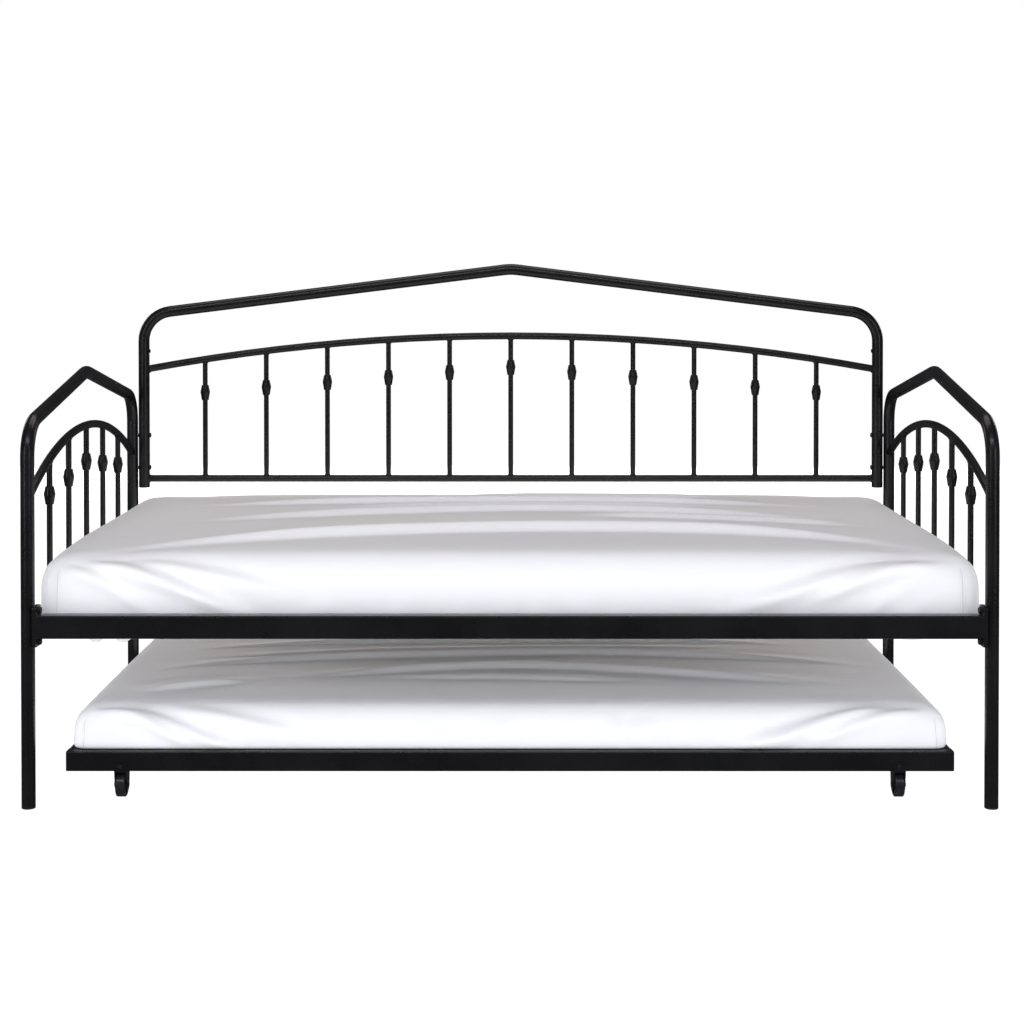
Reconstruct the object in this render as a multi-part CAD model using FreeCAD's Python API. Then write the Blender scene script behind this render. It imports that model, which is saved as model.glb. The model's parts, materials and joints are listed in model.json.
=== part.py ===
import FreeCAD, Part
import math
import os

# Daybed with a roll-out trundle, in millimetres.
# +X runs along the bed, -Y is the open front, +Z is up.
# The origin is on the floor, under the middle of the bed.

V = FreeCAD.Vector

# Bed: overall layout
POST_SPAN_X = 1940.0  # between post centres along the bed
POST_SPAN_Y = 1010.0  # between post centres from front to back
POST_OD = 28.0
POST_WALL = 1.5
RAIL_OD = 18.0  # arch rails and lower cross rails
RAIL_WALL = 1.2
SPINDLE_OD = 12.5
SPINDLE_WALL = 1.0
FOOT_RIM = 4.0
PLUG_LENGTH = 18.0
PLUG_CLEARANCE = 0.1

# Arms
ARM_CORNER_Z = 770.0  # where the post line meets the sloped line
ARM_PEAK_RISE = 88.0
ARM_CORNER_RADIUS = 76.0
ARM_PEAK_RADIUS = 120.0
ARM_ARCH_CROWN_Z = 734.5
ARM_ARCH_RADIUS = 1200.0
ARM_LOWER_RAIL_Z = 371.0
ARM_SPINDLES = 5
ARM_SPINDLE_PITCH = 165.0
ARM_COLLAR_Z = 651.2  # middle spindle
ARM_COLLAR_STEP = 19.8  # lower by this much on each spindle outwards

# Back panel
PANEL_GAP = 2.0  # between a post and the panel's upright
PANEL_FOOT_Z = 537.0
PANEL_SEAM_Z = 869.0  # upper tube and upright meet here
PANEL_CORNER_Z = 980.0
PANEL_PEAK_RISE = 117.0
PANEL_CORNER_RADIUS = 76.0
PANEL_PEAK_RADIUS = 130.0
PANEL_ARCH_CROWN_Z = 925.7
PANEL_ARCH_RADIUS = 5150.0
PANEL_LOWER_RAIL_Z = 560.0
PANEL_SPINDLES = 11
PANEL_COLLAR_Z = 844.7
PANEL_COLLAR_STEP = 12.9
PANEL_CAP_RIM = 3.0
SLEEVE_LENGTH = 90.0
SLEEVE_WALL = 2.0
SEAM_SCREW_RISE = 18.0
PANEL_BOLT_Z = (588.0, 671.0)

# Collars
COLLAR_HEIGHT = 38.5
COLLAR_WAIST_WALL = 6.0
COLLAR_END_WALL = 2.5
COLLAR_WAIST_SHARE = 0.56  # height of the widest ring, as a share of the collar
COLLAR_WAIST_SOFTENING = 9.0
COLLAR_END_SOFTENING = 1.5

# Side rails of the bed
SIDE_RAIL_BOTTOM_Z = 345.0
SIDE_RAIL_HEIGHT = 47.0
SIDE_RAIL_DEPTH = 30.0
SIDE_RAIL_WALL = 1.5
SIDE_RAIL_CORNER = 3.5
END_PLATE_HEIGHT = 82.0
END_PLATE_DEPTH = 40.0
END_PLATE_THICKNESS = 4.0
POST_PLATE_THICKNESS = 4.0
PLATE_BITE = 1.0  # how far the post plate wraps round the post
PLATE_CORNER = 6.0
RAIL_BOLT_SPACING = 63.0

# Slats and the ledges that carry them
SLAT_WIDTH = 38.0
SLAT_THICKNESS = 12.0
SLAT_WALL = 1.2
SLAT_CORNER = 3.0
BED_SLATS = 13
BED_SLAT_TOP_Z = 360.0
SLAT_END_GAP = 0.5
LEDGE_LEG = 25.0
LEDGE_THICKNESS = 2.5
LEDGE_END_GAP = 20.0

# Trundle
TRUNDLE_SIDE_GAP = 57.5  # from a post's centreline to the trundle's end
TRUNDLE_LENGTH = POST_SPAN_X - 2 * TRUNDLE_SIDE_GAP
TRUNDLE_DEPTH = POST_SPAN_Y - 60.0
TRUNDLE_FRONT_Y = 70.0 - POST_SPAN_Y / 2
TRUNDLE_RAIL_BOTTOM_Z = 55.0
TRUNDLE_RAIL_HEIGHT = 41.5
TRUNDLE_RAIL_DEPTH = 30.0
TRUNDLE_RAIL_WALL = 1.5
TRUNDLE_RAIL_CORNER = 4.0
TRUNDLE_CAP = 3.0
TRUNDLE_SLATS = 12
CORNER_LEG = 40.0
CORNER_HEIGHT = 26.0
CORNER_THICKNESS = 3.0

# Casters
WHEEL_OD = 50.0
WHEEL_WIDTH = 20.0
WHEEL_EDGE = 3.0
WHEEL_HUB_OD = 18.0
WHEEL_RECESS = 4.0
WHEEL_RIM = 7.0
CASTER_X = TRUNDLE_LENGTH / 2 - 112.5
CASTER_SETBACK = 16.0  # axle behind the face of the rail
FORK_SHEET = 2.0
FORK_SIDE_GAP = 0.6
FORK_TAB_HEIGHT = 18.0
FORK_EYE_RADIUS = 13.0
CASTER_BOLT_RISE = 9.5  # above the rail's bottom
AXLE_DIAMETER = 6.0
AXLE_HEAD_OD, AXLE_HEAD_HEIGHT = 11.0, 2.0
AXLE_NUT_OD, AXLE_NUT_HEIGHT = 9.0, 3.0
BUSH_OD = 10.0
BUSH_RUNNING_CLEARANCE = 0.05

# Bedding
MATTRESS_LENGTH = POST_SPAN_X - 30.0
MATTRESS_WIDTH = POST_SPAN_Y - 35.0
MATTRESS_THICKNESS = 168.0
TRUNDLE_MATTRESS_LENGTH = TRUNDLE_LENGTH - 13.0
TRUNDLE_MATTRESS_WIDTH = TRUNDLE_DEPTH - 36.0
TRUNDLE_MATTRESS_THICKNESS = 96.0
MATTRESS_CORNER = 55.0
MATTRESS_EDGE = 32.0
MATTRESS_SHELL = 11.0  # cover and padding round the sprung core, which is left empty
SHEET_THICKNESS = 1.5
SHEET_HEM = 90.0

# Fasteners
M8_SHANK, M8_HEAD_ACROSS, M8_HEAD_HEIGHT = 8.0, 13.0, 5.0
M8_WASHER_OD, M8_WASHER_THICKNESS = 15.0, 1.6
M8_NUT_OD, M8_NUT_LENGTH = 11.0, 16.0
M6_SHANK, M6_HEAD_OD, M6_HEAD_HEIGHT = 6.0, 12.0, 3.6
M6_NUT_OD, M6_NUT_LENGTH = 9.0, 14.0
M5_SHANK, M5_HEAD_OD, M5_HEAD_HEIGHT = 5.0, 9.5, 2.6
M5_NUT_OD, M5_NUT_HEIGHT = 8.0, 3.6
SCREW_SHANK, SCREW_HEAD_OD, SCREW_HEAD_HEIGHT = 4.0, 8.0, 2.2
HOLE_CLEARANCE = 0.4
SPACER_OD = 9.0
HEX_SOCKET_SHARE = 0.45
HEAD_DOME_FOOT, HEAD_DOME_CROWN = 0.62, 0.44  # radii that round a hexagon head, as shares of its width
BOLT_OVERRUN = 3.0

# Places worked out from the sizes above
POST_X = POST_SPAN_X / 2
POST_Y = POST_SPAN_Y / 2
POST_RADIUS = POST_OD / 2
RAIL_RADIUS = RAIL_OD / 2
SPINDLE_RADIUS = SPINDLE_OD / 2
PANEL_X = POST_X - POST_OD - PANEL_GAP
PANEL_Y = POST_Y
PANEL_PITCH = 2 * PANEL_X / (PANEL_SPINDLES + 1)
POST_PLATE_X = POST_X - POST_RADIUS + PLATE_BITE
END_PLATE_X = POST_PLATE_X - POST_PLATE_THICKNESS
SIDE_RAIL_X = END_PLATE_X - END_PLATE_THICKNESS
SIDE_RAIL_MID_Z = SIDE_RAIL_BOTTOM_Z + SIDE_RAIL_HEIGHT / 2
SIDE_RAIL_FACE_Y = POST_Y + END_PLATE_DEPTH / 2
SIDE_RAIL_INNER_Y = SIDE_RAIL_FACE_Y - SIDE_RAIL_DEPTH
TRUNDLE_X = TRUNDLE_LENGTH / 2
TRUNDLE_BACK_Y = TRUNDLE_FRONT_Y + TRUNDLE_DEPTH
TRUNDLE_RAIL_TOP_Z = TRUNDLE_RAIL_BOTTOM_Z + TRUNDLE_RAIL_HEIGHT
WHEEL_RADIUS = WHEEL_OD / 2
FORK_INNER = WHEEL_WIDTH / 2 + FORK_SIDE_GAP
FORK_OUTER = FORK_INNER + FORK_SHEET
X_AXIS, Y_AXIS, Z_AXIS = V(1, 0, 0), V(0, 1, 0), V(0, 0, 1)


# ---------- shapes that several pieces share ----------


def rod(start, end, radius):
    """A round bar from one point to another."""
    return Part.makeCylinder(radius, (end - start).Length, start, end - start)


def block(low, high):
    """A box between two opposite corners, given in any order."""
    base = V(min(low.x, high.x), min(low.y, high.y), min(low.z, high.z))
    return Part.makeBox(abs(high.x - low.x), abs(high.y - low.y), abs(high.z - low.z), base)


def edges_along(shape, axis):
    """The straight edges that run along an axis."""
    return [e for e in shape.Edges if abs(e.tangentAt(e.FirstParameter).dot(axis)) > 0.999]


def rounded_block(low, high, axis, radius):
    """A box whose four edges along an axis are rounded."""
    box = block(low, high)
    return box.makeFillet(radius, edges_along(box, axis))


def box_tube(low, high, axis, wall, corner):
    """A rectangular tube along an axis, open at both ends."""
    inset = (V(1, 1, 1) - axis) * wall
    outer = rounded_block(low, high, axis, corner)
    inner = rounded_block(low + inset, high - inset, axis, corner - wall)
    return outer.cut(inner)


def bent_path(points, radii):
    """Straight runs through the points, with a tangent arc at each point between the ends."""
    edges = []
    start = points[0]
    for before, corner, after, radius in zip(points, points[1:], points[2:], radii):
        arriving = (corner - before).normalize()
        leaving = (after - corner).normalize()
        half_turn = arriving.getAngle(leaving) / 2
        setback = radius * math.tan(half_turn)
        first = corner - arriving * setback
        last = corner + leaving * setback
        inward = (leaving - arriving).normalize()
        middle = corner + inward * (radius / math.cos(half_turn) - radius)
        edges.append(Part.makeLine(start, first))
        edges.append(Part.Arc(first, middle, last).toShape())
        start = last
    edges.append(Part.makeLine(start, points[-1]))
    return Part.Wire(edges)


def arc_path(start, crown, end):
    """One arc through three points."""
    return Part.Wire([Part.Arc(start, crown, end).toShape()])


def round_bar(path, radius):
    """A solid bar swept along a path."""
    first = path.Edges[0]
    start = first.valueAt(first.FirstParameter)
    heading = first.tangentAt(first.FirstParameter)
    profile = Part.Wire([Part.makeCircle(radius, start, heading)])
    return path.makePipeShell([profile], True, False)


def round_tube(path, outer_diameter, wall):
    """A hollow tube swept along a path."""
    return round_bar(path, outer_diameter / 2).cut(round_bar(path, outer_diameter / 2 - wall))


def sagitta(radius, half_chord):
    """How far an arc has dropped from its crown at a distance along its chord."""
    return radius - math.sqrt(radius**2 - half_chord**2)


def arch_cutter(top, along, offset, arch_radius):
    """A short bar along an arch rail where a spindle meets it, to cope the spindle's end."""
    drop = offset / math.sqrt(arch_radius**2 - offset**2)
    heading = (along - Z_AXIS * drop).normalize()
    return rod(top - heading * SPINDLE_OD * 2, top + heading * SPINDLE_OD * 2, RAIL_RADIUS)


def hexagon_bar(start, heading, length, across_flats):
    """A hexagonal prism that starts at a point and runs along a direction."""
    corner_radius = across_flats / math.sqrt(3)
    side = V(0, 0, 1) if abs(heading.z) < 0.9 else V(1, 0, 0)
    other = heading.cross(side)
    corners = [
        start + (side * math.cos(turn) + other * math.sin(turn)) * corner_radius
        for turn in (math.radians(60 * k) for k in range(7))
    ]
    return Part.Face(Part.makePolygon(corners)).extrude(heading * length)


def hex_bolt(face, inward, shank, length, across_flats, head_height):
    """A hexagon bolt whose head bears on a face, with its shank running inwards."""
    head = hexagon_bar(face - inward * head_height, inward, head_height, across_flats)
    foot, crown = across_flats * HEAD_DOME_FOOT, across_flats * HEAD_DOME_CROWN
    dome = Part.makeCone(foot, crown, head_height, face, inward * -1)
    return head.common(dome).fuse(rod(face, face + inward * length, shank / 2)).removeSplitter()


def button_bolt(face, inward, shank, length, head_od, head_height):
    """A round-headed bolt with a hexagon socket, its head bearing on a face."""
    head = Part.makeCylinder(head_od / 2, head_height, face, inward * -1)
    rim = [e for e in head.Edges if e.BoundBox.Center.sub(face - inward * head_height).Length < 0.01]
    head = head.makeFillet(head_height * 0.7, rim)
    top = face - inward * head_height
    socket = hexagon_bar(top, inward, head_height * 0.6, head_od * HEX_SOCKET_SHARE)
    return head.cut(socket).fuse(rod(face, face + inward * length, shank / 2)).removeSplitter()


def ring(start, heading, length, outer_diameter, bore):
    """A round sleeve, washer or spacer."""
    outer = Part.makeCylinder(outer_diameter / 2, length, start, heading)
    return outer.cut(Part.makeCylinder(bore / 2, length, start, heading))


def tube_plug(mouth, inward, tube_od, tube_wall, rim):
    """A moulded plug: a rim over the tube's end and a spigot inside it."""
    outer = mouth - inward * rim
    cap = Part.makeCylinder(tube_od / 2, rim, outer, inward)
    edge = [e for e in cap.Edges if e.BoundBox.Center.sub(outer).Length < 0.01]
    cap = cap.makeFillet(rim * 0.4, edge)
    spigot_radius = tube_od / 2 - tube_wall - PLUG_CLEARANCE
    return cap.fuse(Part.makeCylinder(spigot_radius, PLUG_LENGTH, mouth, inward)).removeSplitter()


def circles_of(shape, radius):
    """The circular edges of one radius."""
    return [
        e for e in shape.Edges
        if isinstance(e.Curve, Part.Circle) and abs(e.Curve.Radius - radius) < 0.05
    ]


def collar(x, y, middle_z):
    """A turned collar on a spindle, widest a little above its middle."""
    bottom = middle_z - COLLAR_HEIGHT / 2
    waist_z = bottom + COLLAR_HEIGHT * COLLAR_WAIST_SHARE
    top = bottom + COLLAR_HEIGHT
    bore = SPINDLE_RADIUS
    end, waist = bore + COLLAR_END_WALL, bore + COLLAR_WAIST_WALL
    profile = ((bore, bottom), (end, bottom), (waist, waist_z), (end, top), (bore, top))
    outline = [V(x + r, y, z) for r, z in profile]
    face = Part.Face(Part.makePolygon(outline + outline[:1]))
    turned = face.revolve(V(x, y, 0), Z_AXIS, 360)
    turned = turned.makeFillet(COLLAR_WAIST_SOFTENING, circles_of(turned, waist))
    return turned.makeFillet(COLLAR_END_SOFTENING, circles_of(turned, end))


def spaced(count, pitch):
    """Places either side of zero, evenly spaced."""
    return [(k - (count - 1) / 2) * pitch for k in range(count)]


def holes(shape, bars):
    """The shape with each bar drilled out of it."""
    for bar in bars:
        shape = shape.cut(bar)
    return shape


def write(node, solids):
    """Writes a node's solids to its STEP file."""
    shape = solids[0] if len(solids) == 1 else Part.makeCompound(solids)
    for solid in solids:
        assert solid.isValid() and len(solid.Solids) == 1 and solid.Volume > 0, node
    shape.exportStep(os.path.join("parts", node + ".step"))


# ---------- fastener places ----------


def rail_bolt_heights():
    """Heights of the two bolts at each end of a side rail."""
    return [SIDE_RAIL_MID_Z + dz for dz in (-RAIL_BOLT_SPACING / 2, RAIL_BOLT_SPACING / 2)]


def rail_bolt_holes(side, diameter):
    """Drillings through the inner wall of both posts of an arm, at the side rails."""
    reach = POST_RADIUS
    return [
        rod(V(side * (POST_X - 2 * reach), y, z), V(side * POST_X, y, z), diameter / 2)
        for y in (-POST_Y, POST_Y)
        for z in rail_bolt_heights()
    ]


def panel_bolt_holes(side, inner_x, outer_x, diameter):
    """Drillings along X at the bolts that hold the back panel to a post."""
    return [
        rod(V(side * inner_x, PANEL_Y, z), V(side * outer_x, PANEL_Y, z), diameter / 2)
        for z in PANEL_BOLT_Z
    ]


# ---------- arms ----------


def arm_path(x):
    """Centreline of an arm: up the front post, over the gable and down the back post."""
    peak = ARM_CORNER_Z + ARM_PEAK_RISE
    points = [
        V(x, -POST_Y, FOOT_RIM),
        V(x, -POST_Y, ARM_CORNER_Z),
        V(x, 0, peak),
        V(x, POST_Y, ARM_CORNER_Z),
        V(x, POST_Y, FOOT_RIM),
    ]
    return bent_path(points, (ARM_CORNER_RADIUS, ARM_PEAK_RADIUS, ARM_CORNER_RADIUS))


def arm_frame(side):
    """The bent tube that makes both posts and the gable of an arm."""
    tube = round_tube(arm_path(side * POST_X), POST_OD, POST_WALL)
    drillings = rail_bolt_holes(side, M8_NUT_OD)
    drillings += panel_bolt_holes(side, PANEL_X, POST_X, M6_NUT_OD)
    return holes(tube, drillings)


def arm_posts_solid(side):
    """Both posts as solid bars, for shaping what is welded to them."""
    x = side * POST_X
    return [rod(V(x, y, FOOT_RIM), V(x, y, ARM_CORNER_Z), POST_RADIUS) for y in (-POST_Y, POST_Y)]


def arm_arch_path(x):
    """Centreline of an arm's arch rail, from post to post."""
    end_z = ARM_ARCH_CROWN_Z - sagitta(ARM_ARCH_RADIUS, POST_Y)
    return arc_path(V(x, -POST_Y, end_z), V(x, 0, ARM_ARCH_CROWN_Z), V(x, POST_Y, end_z))


def arm_arch_rail(side):
    """The curved rail under an arm's gable, coped to the posts."""
    rail = round_tube(arm_arch_path(side * POST_X), RAIL_OD, RAIL_WALL)
    return holes(rail, arm_posts_solid(side))


def arm_lower_rail(side):
    """The straight cross rail near the mattress, coped to the posts."""
    x = side * POST_X
    path = Part.Wire([Part.makeLine(V(x, -POST_Y, ARM_LOWER_RAIL_Z), V(x, POST_Y, ARM_LOWER_RAIL_Z))])
    return holes(round_tube(path, RAIL_OD, RAIL_WALL), arm_posts_solid(side))


def arm_spindles(side):
    """The upright spindles of an arm, coped to the rails above and below."""
    x = side * POST_X
    lower = rod(V(x, -POST_Y, ARM_LOWER_RAIL_Z), V(x, POST_Y, ARM_LOWER_RAIL_Z), RAIL_RADIUS)
    pieces = []
    for y in spaced(ARM_SPINDLES, ARM_SPINDLE_PITCH):
        top = V(x, y, ARM_ARCH_CROWN_Z - sagitta(ARM_ARCH_RADIUS, abs(y)))
        path = Part.Wire([Part.makeLine(V(x, y, ARM_LOWER_RAIL_Z), top)])
        upper = arch_cutter(top, Y_AXIS, y, ARM_ARCH_RADIUS)
        pieces.append(holes(round_tube(path, SPINDLE_OD, SPINDLE_WALL), [lower, upper]))
    return pieces


def arm_collars(side):
    """One collar on each spindle of an arm, stepping down from the middle."""
    pieces = []
    for k, y in enumerate(spaced(ARM_SPINDLES, ARM_SPINDLE_PITCH)):
        steps = abs(k - (ARM_SPINDLES - 1) / 2)
        pieces.append(collar(side * POST_X, y, ARM_COLLAR_Z - ARM_COLLAR_STEP * steps))
    return pieces


def foot_caps():
    """The moulded feet in the ends of the four posts."""
    return [
        tube_plug(V(x, y, FOOT_RIM), Z_AXIS, POST_OD, POST_WALL, FOOT_RIM)
        for x in (-POST_X, POST_X)
        for y in (-POST_Y, POST_Y)
    ]


# ---------- back panel ----------


def panel_top_path():
    """Centreline of the panel's upper tube, from seam to seam over the gable."""
    peak = PANEL_CORNER_Z + PANEL_PEAK_RISE
    points = [
        V(-PANEL_X, PANEL_Y, PANEL_SEAM_Z),
        V(-PANEL_X, PANEL_Y, PANEL_CORNER_Z),
        V(0, PANEL_Y, peak),
        V(PANEL_X, PANEL_Y, PANEL_CORNER_Z),
        V(PANEL_X, PANEL_Y, PANEL_SEAM_Z),
    ]
    return bent_path(points, (PANEL_CORNER_RADIUS, PANEL_PEAK_RADIUS, PANEL_CORNER_RADIUS))


def seam_screw_drillings(diameter):
    """Holes for the screws that lock the upper tube onto its sleeves."""
    z = PANEL_SEAM_Z + SEAM_SCREW_RISE
    return [
        rod(V(side * (PANEL_X - POST_OD), PANEL_Y, z), V(side * PANEL_X, PANEL_Y, z), diameter / 2)
        for side in (-1, 1)
    ]


def panel_top_tube():
    """The gabled upper tube of the back panel."""
    tube = round_tube(panel_top_path(), POST_OD, POST_WALL)
    return holes(tube, seam_screw_drillings(M5_SHANK + HOLE_CLEARANCE))


def panel_upright(side):
    """A lower upright of the back panel, bolted beside a post."""
    x = side * PANEL_X
    foot, seam = V(x, PANEL_Y, PANEL_FOOT_Z + PANEL_CAP_RIM), V(x, PANEL_Y, PANEL_SEAM_Z)
    path = Part.Wire([Part.makeLine(foot, seam)])
    tube = round_tube(path, POST_OD, POST_WALL)
    return holes(tube, panel_bolt_holes(side, PANEL_X - POST_OD, POST_X, M6_SHANK + HOLE_CLEARANCE))


def panel_uprights_solid():
    """Both uprights as solid bars, for shaping what is welded to them."""
    return [
        rod(V(x, PANEL_Y, PANEL_FOOT_Z), V(x, PANEL_Y, PANEL_CORNER_Z), POST_RADIUS)
        for x in (-PANEL_X, PANEL_X)
    ]


def panel_arch_path():
    """Centreline of the panel's arch rail."""
    end_z = PANEL_ARCH_CROWN_Z - sagitta(PANEL_ARCH_RADIUS, PANEL_X)
    ends = [V(x, PANEL_Y, end_z) for x in (-PANEL_X, PANEL_X)]
    return arc_path(ends[0], V(0, PANEL_Y, PANEL_ARCH_CROWN_Z), ends[1])


def panel_arch_rail():
    """The long shallow arch of the back panel."""
    return holes(round_tube(panel_arch_path(), RAIL_OD, RAIL_WALL), panel_uprights_solid())


def panel_lower_line():
    """Ends of the panel's straight lower rail."""
    return V(-PANEL_X, PANEL_Y, PANEL_LOWER_RAIL_Z), V(PANEL_X, PANEL_Y, PANEL_LOWER_RAIL_Z)


def panel_lower_rail():
    """The straight rail at the foot of the back panel."""
    path = Part.Wire([Part.makeLine(*panel_lower_line())])
    return holes(round_tube(path, RAIL_OD, RAIL_WALL), panel_uprights_solid())


def panel_spindles():
    """The spindles of the back panel, coped to the rails above and below."""
    lower = rod(*panel_lower_line(), RAIL_RADIUS)
    pieces = []
    for x in spaced(PANEL_SPINDLES, PANEL_PITCH):
        top = V(x, PANEL_Y, PANEL_ARCH_CROWN_Z - sagitta(PANEL_ARCH_RADIUS, abs(x)))
        path = Part.Wire([Part.makeLine(V(x, PANEL_Y, PANEL_LOWER_RAIL_Z), top)])
        upper = arch_cutter(top, X_AXIS, x, PANEL_ARCH_RADIUS)
        pieces.append(holes(round_tube(path, SPINDLE_OD, SPINDLE_WALL), [lower, upper]))
    return pieces


def panel_collars():
    """One collar on each spindle of the back panel, stepping down from the middle."""
    pieces = []
    for k, x in enumerate(spaced(PANEL_SPINDLES, PANEL_PITCH)):
        steps = abs(k - (PANEL_SPINDLES - 1) / 2)
        pieces.append(collar(x, PANEL_Y, PANEL_COLLAR_Z - PANEL_COLLAR_STEP * steps))
    return pieces


def panel_caps():
    """The plugs in the lower ends of the uprights."""
    mouth = PANEL_FOOT_Z + PANEL_CAP_RIM
    return [
        tube_plug(V(x, PANEL_Y, mouth), Z_AXIS, POST_OD, POST_WALL, PANEL_CAP_RIM)
        for x in (-PANEL_X, PANEL_X)
    ]


def seam_sleeves():
    """The inner sleeves that join the upper tube to the uprights."""
    outer = POST_OD - 2 * POST_WALL
    foot = PANEL_SEAM_Z - SLEEVE_LENGTH / 2
    drillings = seam_screw_drillings(M5_SHANK)
    bore = outer - 2 * SLEEVE_WALL
    return [
        holes(ring(V(x, PANEL_Y, foot), Z_AXIS, SLEEVE_LENGTH, outer, bore), drillings)
        for x in (-PANEL_X, PANEL_X)
    ]


def seam_screws():
    """The screws through the upper tube into each sleeve."""
    z = PANEL_SEAM_Z + SEAM_SCREW_RISE
    length = POST_WALL + SLEEVE_WALL + BOLT_OVERRUN
    return [
        button_bolt(
            V(side * (PANEL_X - POST_RADIUS), PANEL_Y, z), X_AXIS * side,
            M5_SHANK, length, M5_HEAD_OD, M5_HEAD_HEIGHT,
        )
        for side in (-1, 1)
    ]


def panel_bolts():
    """The bolts through each upright into a post."""
    length = POST_OD + PANEL_GAP + M6_NUT_LENGTH + BOLT_OVERRUN
    return [
        button_bolt(
            V(side * (PANEL_X - POST_RADIUS), PANEL_Y, z), X_AXIS * side,
            M6_SHANK, length, M6_HEAD_OD, M6_HEAD_HEIGHT,
        )
        for side in (-1, 1)
        for z in PANEL_BOLT_Z
    ]


def panel_spacers():
    """The spacers between each upright and its post."""
    x = PANEL_X + POST_RADIUS
    return [
        ring(V(side * x, PANEL_Y, z), X_AXIS * side, PANEL_GAP, SPACER_OD, M6_SHANK)
        for side in (-1, 1)
        for z in PANEL_BOLT_Z
    ]


def panel_nuts():
    """The rivet nuts in the back posts that take the panel bolts."""
    x = POST_X - POST_RADIUS
    return [
        ring(V(side * x, POST_Y, z), X_AXIS * side, M6_NUT_LENGTH, M6_NUT_OD, M6_SHANK)
        for side in (-1, 1)
        for z in PANEL_BOLT_Z
    ]


# ---------- side rails and slats of the bed ----------


def side_rail(front_back):
    """A rectangular side rail, between its two end plates."""
    y_low, y_high = sorted((front_back * SIDE_RAIL_INNER_Y, front_back * SIDE_RAIL_FACE_Y))
    return box_tube(
        V(-SIDE_RAIL_X, y_low, SIDE_RAIL_BOTTOM_Z),
        V(SIDE_RAIL_X, y_high, SIDE_RAIL_BOTTOM_Z + SIDE_RAIL_HEIGHT),
        X_AXIS, SIDE_RAIL_WALL, SIDE_RAIL_CORNER,
    )


def joint_plate(side, front_back, inner_x, thickness, bore):
    """An upright plate at the end of a side rail, drilled for two bolts."""
    y = front_back * POST_Y
    half_height, half_depth = END_PLATE_HEIGHT / 2, END_PLATE_DEPTH / 2
    plate = rounded_block(
        V(side * inner_x, y - half_depth, SIDE_RAIL_MID_Z - half_height),
        V(side * (inner_x + thickness), y + half_depth, SIDE_RAIL_MID_Z + half_height),
        X_AXIS, PLATE_CORNER,
    )
    drillings = [
        rod(V(side * (inner_x - 1), y, z), V(side * (inner_x + thickness + 1), y, z), bore / 2)
        for z in rail_bolt_heights()
    ]
    return holes(plate, drillings)


def rail_end_plates():
    """The plates welded to the ends of both side rails."""
    bore = M8_SHANK + HOLE_CLEARANCE
    return [
        joint_plate(side, front_back, SIDE_RAIL_X, END_PLATE_THICKNESS, bore)
        for side in (-1, 1)
        for front_back in (-1, 1)
    ]


def post_plates():
    """The plates welded to the posts, hollowed to sit round them."""
    bore = M8_SHANK + HOLE_CLEARANCE
    return [
        holes(
            joint_plate(side, front_back, END_PLATE_X, POST_PLATE_THICKNESS, bore),
            arm_posts_solid(side),
        )
        for side in (-1, 1)
        for front_back in (-1, 1)
    ]


def rail_joint_places():
    """Side, front or back, and height of each side-rail bolt."""
    return [
        (side, front_back, z)
        for side in (-1, 1)
        for front_back in (-1, 1)
        for z in rail_bolt_heights()
    ]


def rail_bolts():
    """The hexagon bolts at the ends of the side rails."""
    grip = M8_WASHER_THICKNESS + END_PLATE_THICKNESS + POST_PLATE_THICKNESS
    length = grip + M8_NUT_LENGTH + BOLT_OVERRUN
    return [
        hex_bolt(
            V(side * (SIDE_RAIL_X - M8_WASHER_THICKNESS), front_back * POST_Y, z), X_AXIS * side,
            M8_SHANK, length, M8_HEAD_ACROSS, M8_HEAD_HEIGHT,
        )
        for side, front_back, z in rail_joint_places()
    ]


def rail_washers():
    """A washer under each side-rail bolt."""
    return [
        ring(
            V(side * (SIDE_RAIL_X - M8_WASHER_THICKNESS), front_back * POST_Y, z), X_AXIS * side,
            M8_WASHER_THICKNESS, M8_WASHER_OD, M8_SHANK,
        )
        for side, front_back, z in rail_joint_places()
    ]


def rail_nuts():
    """The rivet nuts in the posts that take the side-rail bolts."""
    return [
        ring(
            V(side * (POST_X - POST_RADIUS + PLATE_BITE), front_back * POST_Y, z), X_AXIS * side,
            M8_NUT_LENGTH, M8_NUT_OD, M8_SHANK,
        )
        for side, front_back, z in rail_joint_places()
    ]


def ledge(face_y, inward, half_length, shelf_top_z, upright_low_z, drillings):
    """An angle along a rail's inner face: a level shelf under the slats and an upright leg."""
    upright = block(
        V(-half_length, face_y, upright_low_z),
        V(half_length, face_y + inward * LEDGE_THICKNESS, upright_low_z + LEDGE_LEG),
    )
    shelf = block(
        V(-half_length, face_y, shelf_top_z - LEDGE_THICKNESS),
        V(half_length, face_y + inward * LEDGE_LEG, shelf_top_z),
    )
    return holes(upright.fuse(shelf).removeSplitter(), drillings)


def slat_screw_inset():
    """How far a slat's screws stand in from the rail's face."""
    return (LEDGE_LEG + LEDGE_THICKNESS) / 2


def slat(x, y_low, y_high, top_z, drillings):
    """One flat slat from front to back, drilled through its lower wall for its screws."""
    tube = box_tube(
        V(x - SLAT_WIDTH / 2, y_low, top_z - SLAT_THICKNESS),
        V(x + SLAT_WIDTH / 2, y_high, top_z),
        Y_AXIS, SLAT_WALL, SLAT_CORNER,
    )
    return holes(tube, drillings)


def screw_from_below(x, y, face_z):
    """A screw up through a ledge into a slat's lower wall."""
    length = LEDGE_THICKNESS + SLAT_WALL + BOLT_OVERRUN
    return button_bolt(
        V(x, y, face_z), Z_AXIS, SCREW_SHANK, length, SCREW_HEAD_OD, SCREW_HEAD_HEIGHT
    )


def screw_drilling(x, y, low_z, high_z):
    """The hole for a slat screw between two heights."""
    return rod(V(x, y, low_z), V(x, y, high_z), SCREW_SHANK / 2)


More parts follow.
